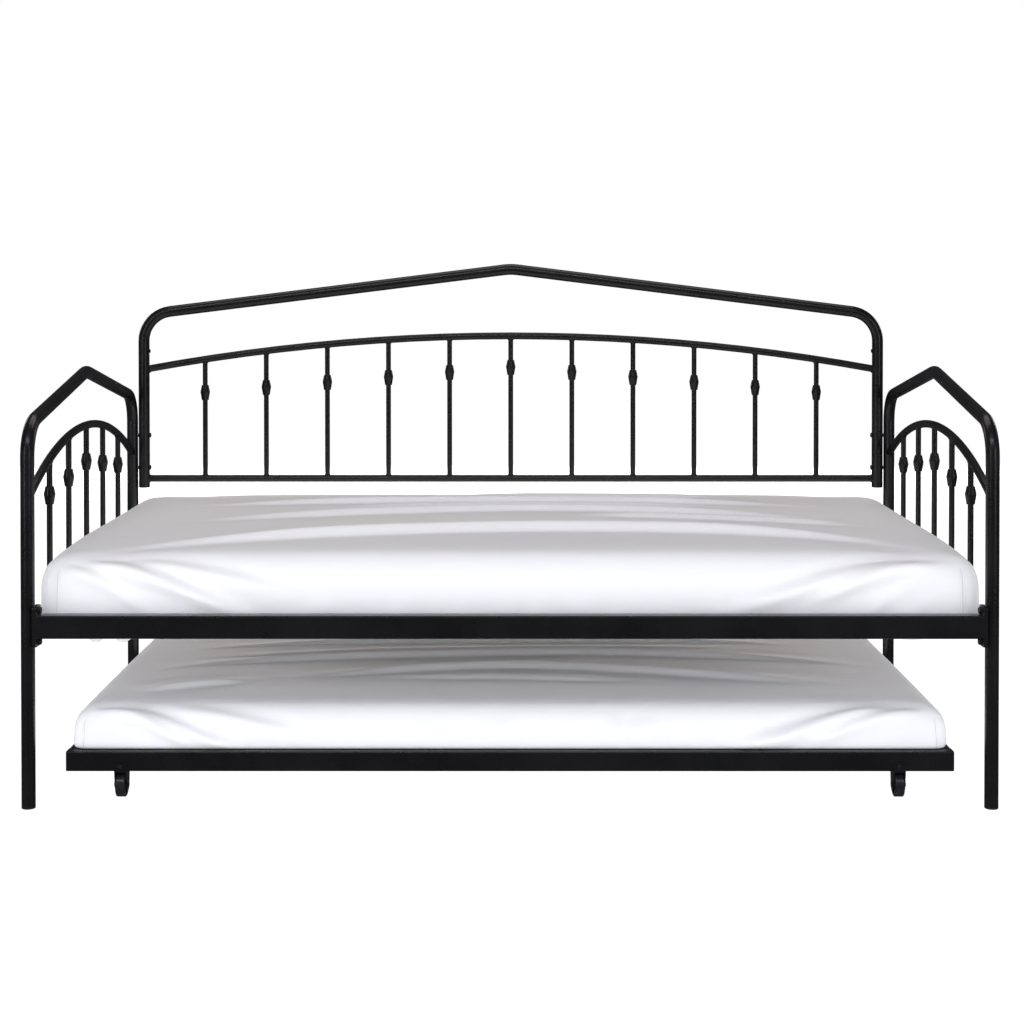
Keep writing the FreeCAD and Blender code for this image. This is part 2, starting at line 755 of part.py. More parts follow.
def bed_slat_places():
    """X of each slat of the bed."""
    return spaced(BED_SLATS, 2 * (SIDE_RAIL_X - LEDGE_END_GAP - SLAT_WIDTH) / (BED_SLATS - 1))


def bed_screw_y():
    """Y of the bed's slat screws, front and back."""
    reach = SIDE_RAIL_INNER_Y - slat_screw_inset()
    return (-reach, reach)


def bed_slats():
    """The slats under the main mattress."""
    reach = SIDE_RAIL_INNER_Y - LEDGE_THICKNESS - SLAT_END_GAP
    low = BED_SLAT_TOP_Z - SLAT_THICKNESS
    return [
        slat(x, -reach, reach, BED_SLAT_TOP_Z,
             [screw_drilling(x, y, low - 1, low + SLAT_THICKNESS / 2) for y in bed_screw_y()])
        for x in bed_slat_places()
    ]


def bed_ledge(front_back):
    """The angle that carries the slats along one side rail, its upright leg rising behind them."""
    top = BED_SLAT_TOP_Z - SLAT_THICKNESS
    foot = top - LEDGE_THICKNESS
    y = front_back * abs(bed_screw_y()[0])
    drillings = [screw_drilling(x, y, foot - 1, top + 1) for x in bed_slat_places()]
    half_length = SIDE_RAIL_X - LEDGE_END_GAP
    face_y = front_back * SIDE_RAIL_INNER_Y
    return ledge(face_y, -front_back, half_length, top, foot, drillings)


def bed_slat_screws():
    """The screws that hold the slats to the ledges."""
    face = BED_SLAT_TOP_Z - SLAT_THICKNESS - LEDGE_THICKNESS
    return [screw_from_below(x, y, face) for x in bed_slat_places() for y in bed_screw_y()]


# ---------- trundle ----------


def caster_places():
    """X, Y of the axle and the direction that faces outwards, for each caster."""
    front = TRUNDLE_FRONT_Y + CASTER_SETBACK
    back = TRUNDLE_BACK_Y - CASTER_SETBACK
    return {
        "front_left": (-CASTER_X, front, -1),
        "front_right": (CASTER_X, front, -1),
        "back_left": (-CASTER_X, back, 1),
        "back_right": (CASTER_X, back, 1),
    }


def caster_rail_face(outward):
    """Y of the outer face of the rail that a caster hangs from."""
    return TRUNDLE_FRONT_Y if outward < 0 else TRUNDLE_BACK_Y


def trundle_rail_x(outward):
    """The front or back rail of the trundle, drilled for its casters."""
    face = caster_rail_face(outward)
    y_low, y_high = sorted((face, face - outward * TRUNDLE_RAIL_DEPTH))
    end = TRUNDLE_X - TRUNDLE_CAP
    tube = box_tube(
        V(-end, y_low, TRUNDLE_RAIL_BOTTOM_Z), V(end, y_high, TRUNDLE_RAIL_TOP_Z),
        X_AXIS, TRUNDLE_RAIL_WALL, TRUNDLE_RAIL_CORNER,
    )
    z = TRUNDLE_RAIL_BOTTOM_Z + CASTER_BOLT_RISE
    drillings = [
        rod(V(x, y_low - 1, z), V(x, y_high + 1, z), M5_SHANK / 2) for x in (-CASTER_X, CASTER_X)
    ]
    drillings += corner_bolt_drillings_y(outward)
    return holes(tube, drillings)


def trundle_side_rail(side):
    """A short side rail of the trundle, between its front and back rails."""
    outer, inner = side * TRUNDLE_X, side * (TRUNDLE_X - TRUNDLE_RAIL_DEPTH)
    x_low, x_high = sorted((outer, inner))
    tube = box_tube(
        V(x_low, TRUNDLE_FRONT_Y + TRUNDLE_RAIL_DEPTH, TRUNDLE_RAIL_BOTTOM_Z),
        V(x_high, TRUNDLE_BACK_Y - TRUNDLE_RAIL_DEPTH, TRUNDLE_RAIL_TOP_Z),
        Y_AXIS, TRUNDLE_RAIL_WALL, TRUNDLE_RAIL_CORNER,
    )
    return holes(tube, corner_bolt_drillings_x(side))


def trundle_end_caps():
    """The moulded caps in both ends of the front and back rails."""
    pieces = []
    for outward in (-1, 1):
        face = caster_rail_face(outward)
        y_low, y_high = sorted((face, face - outward * TRUNDLE_RAIL_DEPTH))
        gap = TRUNDLE_RAIL_WALL + PLUG_CLEARANCE
        for side in (-1, 1):
            end = side * (TRUNDLE_X - TRUNDLE_CAP)
            plate = rounded_block(
                V(end, y_low, TRUNDLE_RAIL_BOTTOM_Z), V(side * TRUNDLE_X, y_high, TRUNDLE_RAIL_TOP_Z),
                X_AXIS, TRUNDLE_RAIL_CORNER,
            )
            outer_face = max(plate.Faces, key=lambda f: side * f.CenterOfMass.x)
            plate = plate.makeFillet(TRUNDLE_CAP * 0.6, outer_face.Edges)
            spigot = rounded_block(
                V(end, y_low + gap, TRUNDLE_RAIL_BOTTOM_Z + gap),
                V(end - side * PLUG_LENGTH, y_high - gap, TRUNDLE_RAIL_TOP_Z - gap),
                X_AXIS, TRUNDLE_RAIL_CORNER - TRUNDLE_RAIL_WALL,
            )
            pieces.append(plate.fuse(spigot).removeSplitter())
    return pieces


def corner_bolt_z():
    """Height of the bolts through the corner brackets."""
    return TRUNDLE_RAIL_BOTTOM_Z + TRUNDLE_RAIL_CORNER + CORNER_HEIGHT / 2


def corner_bolt_x():
    """Distance from the middle to the bolts in the front and back rails."""
    return TRUNDLE_X - TRUNDLE_RAIL_DEPTH - (CORNER_LEG + CORNER_THICKNESS) / 2


def corner_bolt_y(outward):
    """Y of the bolts in the side rails, near the front or back rail."""
    inner = caster_rail_face(outward) - outward * TRUNDLE_RAIL_DEPTH
    return inner - outward * (CORNER_LEG + CORNER_THICKNESS) / 2


def corner_bolt_drillings_y(outward):
    """Holes through the inner wall of the front or back rail."""
    inner = caster_rail_face(outward) - outward * TRUNDLE_RAIL_DEPTH
    wall = V(0, outward * (TRUNDLE_RAIL_WALL + 1), 0)
    places = [V(side * corner_bolt_x(), inner, corner_bolt_z()) for side in (-1, 1)]
    return [rod(p - V(0, outward, 0), p + wall, M6_SHANK / 2) for p in places]


def corner_bolt_drillings_x(side):
    """Holes through the inner wall of a side rail."""
    inner = side * (TRUNDLE_X - TRUNDLE_RAIL_DEPTH)
    wall = V(side * (TRUNDLE_RAIL_WALL + 1), 0, 0)
    places = [V(inner, corner_bolt_y(outward), corner_bolt_z()) for outward in (-1, 1)]
    return [rod(p - V(side, 0, 0), p + wall, M6_SHANK / 2) for p in places]


def trundle_corner_brackets():
    """The angle brackets that join the trundle's rails inside its corners."""
    pieces = []
    low_z = corner_bolt_z() - CORNER_HEIGHT / 2
    high_z = corner_bolt_z() + CORNER_HEIGHT / 2
    for side in (-1, 1):
        for outward in (-1, 1):
            x = side * (TRUNDLE_X - TRUNDLE_RAIL_DEPTH)
            y = caster_rail_face(outward) - outward * TRUNDLE_RAIL_DEPTH
            along_rail = block(
                V(x, y, low_z), V(x - side * CORNER_LEG, y - outward * CORNER_THICKNESS, high_z)
            )
            along_side = block(
                V(x, y, low_z), V(x - side * CORNER_THICKNESS, y - outward * CORNER_LEG, high_z)
            )
            bracket = along_rail.fuse(along_side).removeSplitter()
            reach = CORNER_THICKNESS + 1
            bolts = [
                rod(V(side * corner_bolt_x(), y, corner_bolt_z()),
                    V(side * corner_bolt_x(), y - outward * reach, corner_bolt_z()), M6_SHANK / 2),
                rod(V(x, corner_bolt_y(outward), corner_bolt_z()),
                    V(x - side * reach, corner_bolt_y(outward), corner_bolt_z()), M6_SHANK / 2),
            ]
            pieces.append(holes(bracket, bolts))
    return pieces


def trundle_corner_bolts():
    """The bolts through the corner brackets into the rails."""
    length = CORNER_THICKNESS + TRUNDLE_RAIL_WALL + BOLT_OVERRUN
    pieces = []
    for side in (-1, 1):
        for outward in (-1, 1):
            x = side * (TRUNDLE_X - TRUNDLE_RAIL_DEPTH - CORNER_THICKNESS)
            y = caster_rail_face(outward) - outward * (TRUNDLE_RAIL_DEPTH + CORNER_THICKNESS)
            places = (
                (V(side * corner_bolt_x(), y, corner_bolt_z()), Y_AXIS * outward),
                (V(x, corner_bolt_y(outward), corner_bolt_z()), X_AXIS * side),
            )
            for face, inward in places:
                pieces.append(
                    button_bolt(face, inward, M6_SHANK, length, M6_HEAD_OD, M6_HEAD_HEIGHT)
                )
    return pieces


def trundle_slat_places():
    """X of each slat of the trundle."""
    reach = TRUNDLE_X - TRUNDLE_RAIL_DEPTH - CORNER_LEG - LEDGE_END_GAP - SLAT_WIDTH / 2
    return spaced(TRUNDLE_SLATS, 2 * reach / (TRUNDLE_SLATS - 1))


def trundle_inner_y(outward):
    """Y of the inner face of the front or back rail."""
    return caster_rail_face(outward) - outward * TRUNDLE_RAIL_DEPTH


def trundle_screw_y(outward):
    """Y of the slat screws near the front or back rail."""
    return trundle_inner_y(outward) - outward * slat_screw_inset()


def trundle_slats():
    """The slats under the trundle's mattress, flush with its rails."""
    low = TRUNDLE_RAIL_TOP_Z - SLAT_THICKNESS
    front, back = trundle_inner_y(-1) + SLAT_END_GAP, trundle_inner_y(1) - SLAT_END_GAP
    return [
        slat(x, front, back, TRUNDLE_RAIL_TOP_Z,
             [screw_drilling(x, trundle_screw_y(o), low - 1, low + SLAT_THICKNESS / 2) for o in (-1, 1)])
        for x in trundle_slat_places()
    ]


def trundle_ledge(outward):
    """The angle that carries the trundle's slats along one rail, its upright leg hanging down."""
    top = TRUNDLE_RAIL_TOP_Z - SLAT_THICKNESS
    y = trundle_screw_y(outward)
    drillings = [
        screw_drilling(x, y, top - LEDGE_THICKNESS - 1, top + 1) for x in trundle_slat_places()
    ]
    z = TRUNDLE_RAIL_BOTTOM_Z + CASTER_BOLT_RISE
    for x in (-CASTER_X, CASTER_X):
        near = V(x - FORK_OUTER - 2, trundle_inner_y(outward), TRUNDLE_RAIL_BOTTOM_Z)
        far = V(x + FORK_OUTER + 2, near.y - outward * (LEDGE_THICKNESS + 1), z + M5_HEAD_OD)
        drillings.append(block(near, far))
    half_length = TRUNDLE_X - TRUNDLE_RAIL_DEPTH - CORNER_LEG - LEDGE_END_GAP / 2
    return ledge(trundle_inner_y(outward), -outward, half_length, top, top - LEDGE_LEG, drillings)


def trundle_slat_screws():
    """The screws that hold the trundle's slats to its ledges."""
    face = TRUNDLE_RAIL_TOP_Z - SLAT_THICKNESS - LEDGE_THICKNESS
    return [
        screw_from_below(x, trundle_screw_y(outward), face)
        for x in trundle_slat_places()
        for outward in (-1, 1)
    ]


# ---------- casters ----------


def caster_fork(x, y, outward):
    """A pressed fork: a bridge under the rail, a tab up each face of it, and two cheeks."""
    face = caster_rail_face(outward)
    outer_y, inner_y = face + outward * FORK_SHEET, face - outward * (TRUNDLE_RAIL_DEPTH + FORK_SHEET)
    base = TRUNDLE_RAIL_BOTTOM_Z
    low_x, high_x = x - FORK_OUTER, x + FORK_OUTER
    bridge = block(V(low_x, outer_y, base - FORK_SHEET), V(high_x, inner_y, base))
    tabs = [
        block(V(low_x, edge, base - FORK_SHEET), V(high_x, edge + step, base + FORK_TAB_HEIGHT))
        for edge, step in ((outer_y, -outward * FORK_SHEET), (inner_y, outward * FORK_SHEET))
    ]
    fork = bridge.fuse(tabs)
    corners = [
        V(0, outer_y, base - FORK_SHEET),
        V(0, inner_y, base - FORK_SHEET),
        V(0, y - outward * FORK_EYE_RADIUS, WHEEL_RADIUS),
        V(0, y + outward * FORK_EYE_RADIUS, WHEEL_RADIUS),
    ]
    web = Part.Face(Part.makePolygon(corners + corners[:1])).extrude(V(FORK_SHEET, 0, 0))
    eye = Part.makeCylinder(FORK_EYE_RADIUS, FORK_SHEET, V(0, y, WHEEL_RADIUS), X_AXIS)
    cheek = web.fuse(eye).removeSplitter()
    for start in (low_x, x + FORK_INNER):
        fork = fork.fuse(cheek.translated(V(start, 0, 0)))
    axle = rod(V(low_x - 1, y, WHEEL_RADIUS), V(high_x + 1, y, WHEEL_RADIUS), AXLE_DIAMETER / 2)
    bolt_z = base + CASTER_BOLT_RISE
    bolt = rod(V(x, outer_y + outward, bolt_z), V(x, inner_y - outward, bolt_z), M5_SHANK / 2)
    return holes(fork.removeSplitter(), [axle, bolt])


def caster_bolts():
    """The bolts that clamp each fork across its rail."""
    pieces = []
    for x, y, outward in caster_places().values():
        face = caster_rail_face(outward) + outward * FORK_SHEET
        length = TRUNDLE_RAIL_DEPTH + 2 * FORK_SHEET + M5_HEAD_HEIGHT + BOLT_OVERRUN
        pieces.append(
            button_bolt(
                V(x, face, TRUNDLE_RAIL_BOTTOM_Z + CASTER_BOLT_RISE), Y_AXIS * -outward,
                M5_SHANK, length, M5_HEAD_OD, M5_HEAD_HEIGHT,
            )
        )
    return pieces


def drilled_nut(start, heading, length, across_flats, bore):
    """A hexagon nut on a plain bore."""
    nut = hexagon_bar(start, heading, length, across_flats)
    return nut.cut(rod(start, start + heading * length, bore / 2))


def caster_bolt_nuts():
    """The nuts on the inner ends of the fork bolts."""
    pieces = []
    for x, y, outward in caster_places().values():
        inner = caster_rail_face(outward) - outward * (TRUNDLE_RAIL_DEPTH + FORK_SHEET)
        start = V(x, inner, TRUNDLE_RAIL_BOTTOM_Z + CASTER_BOLT_RISE)
        pieces.append(drilled_nut(start, Y_AXIS * -outward, M5_NUT_HEIGHT, M5_NUT_OD, M5_SHANK))
    return pieces


def axle_bolts():
    """The axle bolt of each caster."""
    length = 2 * FORK_OUTER + AXLE_NUT_HEIGHT
    return [
        button_bolt(
            V(x - math.copysign(FORK_OUTER, x), y, WHEEL_RADIUS), V(math.copysign(1, x), 0, 0),
            AXLE_DIAMETER, length, AXLE_HEAD_OD, AXLE_HEAD_HEIGHT,
        )
        for x, y, outward in caster_places().values()
    ]


def axle_nuts():
    """The nut on the outer end of each axle bolt."""
    return [
        drilled_nut(
            V(x + math.copysign(FORK_OUTER, x), y, WHEEL_RADIUS), V(math.copysign(1, x), 0, 0),
            AXLE_NUT_HEIGHT, AXLE_NUT_OD, AXLE_DIAMETER,
        )
        for x, y, outward in caster_places().values()
    ]


def axle_bushes():
    """The sleeve that each wheel turns on, clamped between the cheeks."""
    return [
        ring(V(x - FORK_INNER, y, WHEEL_RADIUS), X_AXIS, 2 * FORK_INNER, BUSH_OD, AXLE_DIAMETER)
        for x, y, outward in caster_places().values()
    ]


def wheel(x, y):
    """A moulded wheel with recessed sides, bored to run on its bush."""
    bore = BUSH_OD / 2 + BUSH_RUNNING_CLEARANCE
    half = WHEEL_WIDTH / 2
    disc = Part.makeCylinder(WHEEL_RADIUS, WHEEL_WIDTH, V(x - half, y, WHEEL_RADIUS), X_AXIS)
    rims = [e for e in disc.Edges if isinstance(e.Curve, Part.Circle)]
    disc = disc.makeFillet(WHEEL_EDGE, rims)
    rim_inner = 2 * (WHEEL_RADIUS - WHEEL_RIM)
    for start in (x - half, x + half - WHEEL_RECESS):
        disc = disc.cut(ring(V(start, y, WHEEL_RADIUS), X_AXIS, WHEEL_RECESS, rim_inner, WHEEL_HUB_OD))
    return disc.cut(rod(V(x - half, y, WHEEL_RADIUS), V(x + half, y, WHEEL_RADIUS), bore))


# ---------- bedding ----------


def pad(length, width, bottom_z, thickness, centre_y, grow):
    """A mattress shape with rounded corners and edges, grown on every side."""
    low = V(-length / 2 - grow, centre_y - width / 2 - grow, bottom_z - grow)
    high = V(length / 2 + grow, centre_y + width / 2 + grow, bottom_z + thickness + grow)
    box = rounded_block(low, high, Z_AXIS, MATTRESS_CORNER + grow)
    level = [e for e in box.Edges if e.BoundBox.ZLength < 0.01]
    return box.makeFillet(MATTRESS_EDGE + grow, level)


def bedding(length, width, rest_z, thickness, centre_y):
    """A mattress and the fitted sheet round it; the sizes are those over the sheet."""
    inset = SHEET_THICKNESS
    size = (length - 2 * inset, width - 2 * inset, rest_z + inset, thickness - 2 * inset, centre_y)
    block_of_padding = pad(*size, 0)
    core = block_of_padding.cut(pad(*size, -MATTRESS_SHELL))
    skin = pad(*size, inset).cut(block_of_padding)
    opening = rounded_block(
        V(-length / 2 + SHEET_HEM, centre_y - width / 2 + SHEET_HEM, rest_z - 1),
        V(length / 2 - SHEET_HEM, centre_y + width / 2 - SHEET_HEM, rest_z + thickness / 2),
        Z_AXIS, MATTRESS_CORNER,
    )
    return core, skin.cut(opening)


# ---------- all nodes ----------


def main():
    os.makedirs("parts", exist_ok=True)
    for name, side in (("left", -1), ("right", 1)):
        write(name + "_arm_frame", [arm_frame(side)])
        write(name + "_arm_arch_rail", [arm_arch_rail(side)])
        write(name + "_arm_lower_rail", [arm_lower_rail(side)])
        write(name + "_arm_spindles", arm_spindles(side))
        write(name + "_arm_collars", arm_collars(side))
        write("panel_" + name + "_upright", [panel_upright(side)])
        write("trundle_" + name + "_rail", [trundle_side_rail(side)])
    write("post_foot_caps", foot_caps())

    write("panel_top_tube", [panel_top_tube()])
    write("panel_arch_rail", [panel_arch_rail()])
    write("panel_lower_rail", [panel_lower_rail()])
    write("panel_spindles", panel_spindles())
    write("panel_collars", panel_collars())
    write("panel_end_caps", panel_caps())
    write("panel_seam_sleeves", seam_sleeves())
    write("panel_seam_screws", seam_screws())
    write("panel_bolts", panel_bolts())
    write("panel_spacers", panel_spacers())
    write("panel_rivet_nuts", panel_nuts())

    for name, front_back in (("front", -1), ("back", 1)):
        write(name + "_side_rail", [side_rail(front_back)])
        write(name + "_slat_ledge", [bed_ledge(front_back)])
        write("trundle_" + name + "_rail", [trundle_rail_x(front_back)])
        write("trundle_" + name + "_ledge", [trundle_ledge(front_back)])
    write("rail_end_plates", rail_end_plates())
    write("post_plates", post_plates())
    write("rail_bolts", rail_bolts())
    write("rail_washers", rail_washers())
    write("rail_rivet_nuts", rail_nuts())
    write("bed_slats", bed_slats())
    write("bed_slat_screws", bed_slat_screws())

    write("trundle_end_caps", trundle_end_caps())
    write("trundle_corner_brackets", trundle_corner_brackets())
    write("trundle_corner_bolts", trundle_corner_bolts())
    write("trundle_slats", trundle_slats())
    write("trundle_slat_screws", trundle_slat_screws())

    places = caster_places()
    write("caster_forks", [caster_fork(*place) for place in places.values()])
    write("caster_bolts", caster_bolts())
    write("caster_bolt_nuts", caster_bolt_nuts())
    write("caster_axle_bolts", axle_bolts())
    write("caster_axle_nuts", axle_nuts())
    write("caster_bushes", axle_bushes())
    for name, (x, y, outward) in places.items():
        write("wheel_" + name, [wheel(x, y)])

    mattress, sheet = bedding(
        MATTRESS_LENGTH, MATTRESS_WIDTH, BED_SLAT_TOP_Z, MATTRESS_THICKNESS, 0
    )
    write("main_mattress", [mattress])
    write("main_fitted_sheet", [sheet])
    mattress, sheet = bedding(
        TRUNDLE_MATTRESS_LENGTH, TRUNDLE_MATTRESS_WIDTH, TRUNDLE_RAIL_TOP_Z,
        TRUNDLE_MATTRESS_THICKNESS, (TRUNDLE_FRONT_Y + TRUNDLE_BACK_Y) / 2,
    )
    write("trundle_mattress", [mattress])
    write("trundle_fitted_sheet", [sheet])


main()
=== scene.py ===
"""Dresses the trundle bed: its finishes, weld beads, two made-up mattresses and the studio."""

import json
import logging
import math
import random
from dataclasses import dataclass
from enum import Enum
from functools import cached_property

import bmesh
import bpy
import numpy as np
from mathutils import Matrix, Vector
from mathutils.bvhtree import BVHTree


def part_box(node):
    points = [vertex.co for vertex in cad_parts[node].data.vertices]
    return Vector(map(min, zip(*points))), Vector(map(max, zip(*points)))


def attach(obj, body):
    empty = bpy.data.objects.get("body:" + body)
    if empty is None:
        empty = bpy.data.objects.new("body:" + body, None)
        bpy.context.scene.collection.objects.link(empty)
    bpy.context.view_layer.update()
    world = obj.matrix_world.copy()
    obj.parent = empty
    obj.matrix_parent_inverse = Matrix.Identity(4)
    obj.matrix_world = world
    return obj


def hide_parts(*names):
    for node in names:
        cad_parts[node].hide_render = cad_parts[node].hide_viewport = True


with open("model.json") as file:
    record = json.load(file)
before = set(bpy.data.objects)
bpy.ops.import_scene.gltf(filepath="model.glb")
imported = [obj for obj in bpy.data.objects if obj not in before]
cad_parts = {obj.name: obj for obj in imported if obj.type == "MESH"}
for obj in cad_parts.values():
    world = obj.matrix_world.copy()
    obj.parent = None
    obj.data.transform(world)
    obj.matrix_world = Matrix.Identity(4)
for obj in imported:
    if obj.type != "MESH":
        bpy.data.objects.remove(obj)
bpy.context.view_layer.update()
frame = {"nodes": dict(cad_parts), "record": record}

LOG = logging.getLogger("trundle_bed")
Point = tuple[float, float, float]
Colour = tuple[float, float, float]
Track = tuple[tuple[int, int], ...]
UP = Vector((0, 0, 1))


def hang(name: str, data: bpy.types.ID) -> bpy.types.Object:
    """Puts a new object into the scene.

    Args:
        name: Its name.
        data: Its mesh, light or camera.

    Returns:
        The object.
    """
    made = bpy.data.objects.new(name, data)
    bpy.context.scene.collection.objects.link(made)
    return made


def read(mesh: bpy.types.Mesh, what: str = "co") -> np.ndarray:
    """Reads a vector of every vertex.

    Args:
        mesh: The mesh.
        what: Its places, "co", or its normals, "normal".

    Returns:
        One row for each vertex.
    """
    values = np.zeros(len(mesh.vertices) * 3, np.float32)
    mesh.vertices.foreach_get(what, values)
    return values.reshape(-1, 3)


def middle_of(node: str) -> Vector:
    """The middle of a CAD node's box."""
    low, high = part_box(node)
    return (low + high) / 2


# ---------- shader kit ----------


class Signal:
    """A shader socket that takes part in Python arithmetic by adding Math nodes."""

    def __init__(self, desk: "Desk", socket: bpy.types.NodeSocket) -> None:
        """Wraps one output socket of a desk's node tree."""
        self.desk = desk
        self.socket = socket

    def _math(self, operation: str, first: object, second: object = 0.0) -> "Signal":
        """Adds one Math node.

        Args:
            operation: The Math node's operation.
            first: The first value or signal.
            second: The second value or signal.

        Returns:
            The node's result.
        """
        node = self.desk.node("ShaderNodeMath", {"operation": operation}, {0: first, 1: second})
        return Signal(self.desk, node.outputs[0])

    def __add__(self, other: object) -> "Signal":
        """This plus other."""
        return self._math("ADD", self, other)

    __radd__ = __add__

    def __sub__(self, other: object) -> "Signal":
        """This minus other."""
        return self._math("SUBTRACT", self, other)

    def __rsub__(self, other: object) -> "Signal":
        """Other minus this."""
        return self._math("SUBTRACT", other, self)

    def __mul__(self, other: object) -> "Signal":
        """This times other."""
        return self._math("MULTIPLY", self, other)

    __rmul__ = __mul__

    def __abs__(self) -> "Signal":
        """The size of this."""
        return self._math("ABSOLUTE", self)

    def highest(self, other: object) -> "Signal":
        """The larger of this and other."""
        return self._math("MAXIMUM", self, other)

    def lowest(self, other: object) -> "Signal":
        """The smaller of this and other."""
        return self._math("MINIMUM", self, other)

    def over(self, low: float, high: float) -> "Signal":
        """A smooth step.

        Args:
            low: The value at which the step starts.
            high: The value at which it is complete.

        Returns:
            A signal from 0 to 1.
        """
        settings = {"interpolation_type": "SMOOTHSTEP"}
        inputs = {"Value": self, "From Min": low, "From Max": high}
        return Signal(self.desk, self.desk.node("ShaderNodeMapRange", settings, inputs).outputs[0])


class Desk:
    """A node tree, and the one method that adds a node to it."""

    def __init__(self, name: str, kind: str = "materials") -> None:
        """Starts an empty node tree.

        Args:
            name: The name of the material or world that owns it.
            kind: "materials" or "worlds".
        """
        self.owner = getattr(bpy.data, kind).new(name)
        self.owner.use_nodes = True
        self.tree = self.owner.node_tree
        self.tree.nodes.clear()

    @cached_property
    def place(self) -> bpy.types.NodeSocket:
        """Object coordinates."""
        return self.node("ShaderNodeTexCoord").outputs["Object"]

    def node(
        self, kind: str, settings: dict | None = None, inputs: dict | None = None
    ) -> bpy.types.Node:
        """Adds a node.

        Args:
            kind: The node's type.
            settings: Properties set before its sockets.
            inputs: A value, signal or socket for each named or numbered socket.

        Returns:
            The new node.
        """
        made = self.tree.nodes.new(kind)
        for name, value in (settings or {}).items():
            setattr(made, name, value)
        for name, value in (inputs or {}).items():
            if isinstance(value, Signal):
                value = value.socket
            if isinstance(value, bpy.types.NodeSocket):
                self.tree.links.new(value, made.inputs[name])
            else:
                made.inputs[name].default_value = value
        return made

    def stretched(self, scale: Point) -> bpy.types.NodeSocket:
        """Object coordinates, scaled along each axis."""
        inputs = {"Vector": self.place, "Scale": scale}
        return self.node("ShaderNodeMapping", None, inputs).outputs[0]

    def noise(
        self, scale: float, detail: float = 2.0, rough: float = 0.5, place: object = None
    ) -> Signal:
        """Cloud-like noise.

        Args:
            scale: Features per metre.
            detail: How many finer layers it has.
            rough: How strong the finer layers are.
            place: Coordinates, or None for object coordinates.

        Returns:
            A signal near 0.5.
        """
        inputs = {"Scale": scale, "Detail": detail, "Roughness": rough}
        inputs["Vector"] = place or self.place
        node = self.node("ShaderNodeTexNoise", {"noise_dimensions": "3D"}, inputs)
        return Signal(self, node.outputs[0])

    def grains(self, scale: float) -> Signal:
        """The distance to the nearest of many scattered points.

        Args:
            scale: Points per metre.

        Returns:
            A signal that is 0 at each point.
        """
        inputs = {"Vector": self.place, "Scale": scale}
        node = self.node("ShaderNodeTexVoronoi", {"feature": "F1"}, inputs)
        return Signal(self, node.outputs["Distance"])

    def wave(self, along: Signal, pitch: float, phase: float = 0.0) -> Signal:
        """A sine wave along a coordinate.

        Args:
            along: The coordinate.
            pitch: The length of one wave.
            phase: Where in its turn the wave starts, in radians.

        Returns:
            A signal from -1 to 1.
        """
        angle = along * (2 * math.pi / pitch)
        if phase:
            angle = angle + phase
        node = self.node("ShaderNodeMath", {"operation": "SINE"}, {0: angle})
        return Signal(self, node.outputs[0])

    def blend(self, amount: object, first: object, second: object) -> bpy.types.NodeSocket:
        """Mixes two colours.

        Args:
            amount: 0 for the first, 1 for the second.
            first: A colour or its socket.
            second: A colour or its socket.

        Returns:
            The mixed colour's socket.
        """
        shades = [(*s, 1.0) if isinstance(s, tuple) else s for s in (first, second)]
        inputs = {0: amount, 6: shades[0], 7: shades[1]}
        return self.node("ShaderNodeMix", {"data_type": "RGBA"}, inputs).outputs[2]

    def bump(self, height: Signal, depth: float, under: object = None) -> bpy.types.NodeSocket:
        """Adds relief.

        Args:
            height: The relief, from 0 to 1.
            depth: The relief's full height in metres.
            under: The normal of a coarser relief below it.

        Returns:
            The new normal's socket.
        """
        inputs = {"Strength": 1.0, "Distance": depth, "Height": height}
        if under is not None:
            inputs["Normal"] = under
        return self.node("ShaderNodeBump", None, inputs).outputs[0]

    def surface(self, **inputs: object) -> bpy.types.Material:
        """Ends the tree in one Principled surface.

        Args:
            inputs: Socket names, with underscores for spaces, and their values.

        Returns:
            The finished material.
        """
        named = {name.replace("_", " "): value for name, value in inputs.items()}
        shader = self.node("ShaderNodeBsdfPrincipled", None, named)
        self.node("ShaderNodeOutputMaterial", None, {"Surface": shader.outputs[0]})
        return self.owner


# ---------- finishes ----------


class Slot(Enum):
    """The material slots of the part's record."""

    POWDER = "black_powder_coat"
    MOULDED = "black_moulded_plastic"
    WHEEL = "caster_wheel_plastic"
    FASTENER = "black_fasteners"
    ZINC = "zinc_steel"
    TICKING = "mattress_ticking"
    COTTON = "white_cotton_sheet"


@dataclass(frozen=True)
class PowderCoat:
    """Satin black powder coat on steel tube, with orange peel, handling haze and a little dust."""

    deep: Colour = (0.0042, 0.0042, 0.0045)
    lifted: Colour = (0.0075, 0.0075, 0.0082)
    roughness: float = 0.29
    peel: float = 0.00002
    dust: Colour = (0.035, 0.034, 0.032)

    def make(self, desk: Desk) -> bpy.types.Material:
        """Builds the finish.

        Args:
            desk: An empty material's desk.

        Returns:
            The material.
        """
        cloud = desk.noise(6.0, 4.0, 0.6)
        speck = desk.grains(1400.0).over(0.05, 0.32)
        haze = desk.noise(38.0, 5.0, 0.65)
        shade = desk.blend(cloud.over(0.35, 0.7), self.deep, self.lifted)
        dust = haze.over(0.62, 0.8) * 0.1 + (1.0 - speck) * 0.02
        shade = desk.blend(dust, shade, self.dust)
        peel = desk.bump(desk.noise(620.0, 3.0, 0.55), self.peel)
        grain = desk.bump(desk.noise(2600.0, 1.0), self.peel * 0.15, peel)
        return desk.surface(
            Base_Color=shade,
            Roughness=self.roughness + (haze - 0.5) * 0.16 + (cloud - 0.5) * 0.06,
            Specular_IOR_Level=0.5, Coat_Weight=0.12, Coat_Roughness=0.18, Normal=grain,
        )


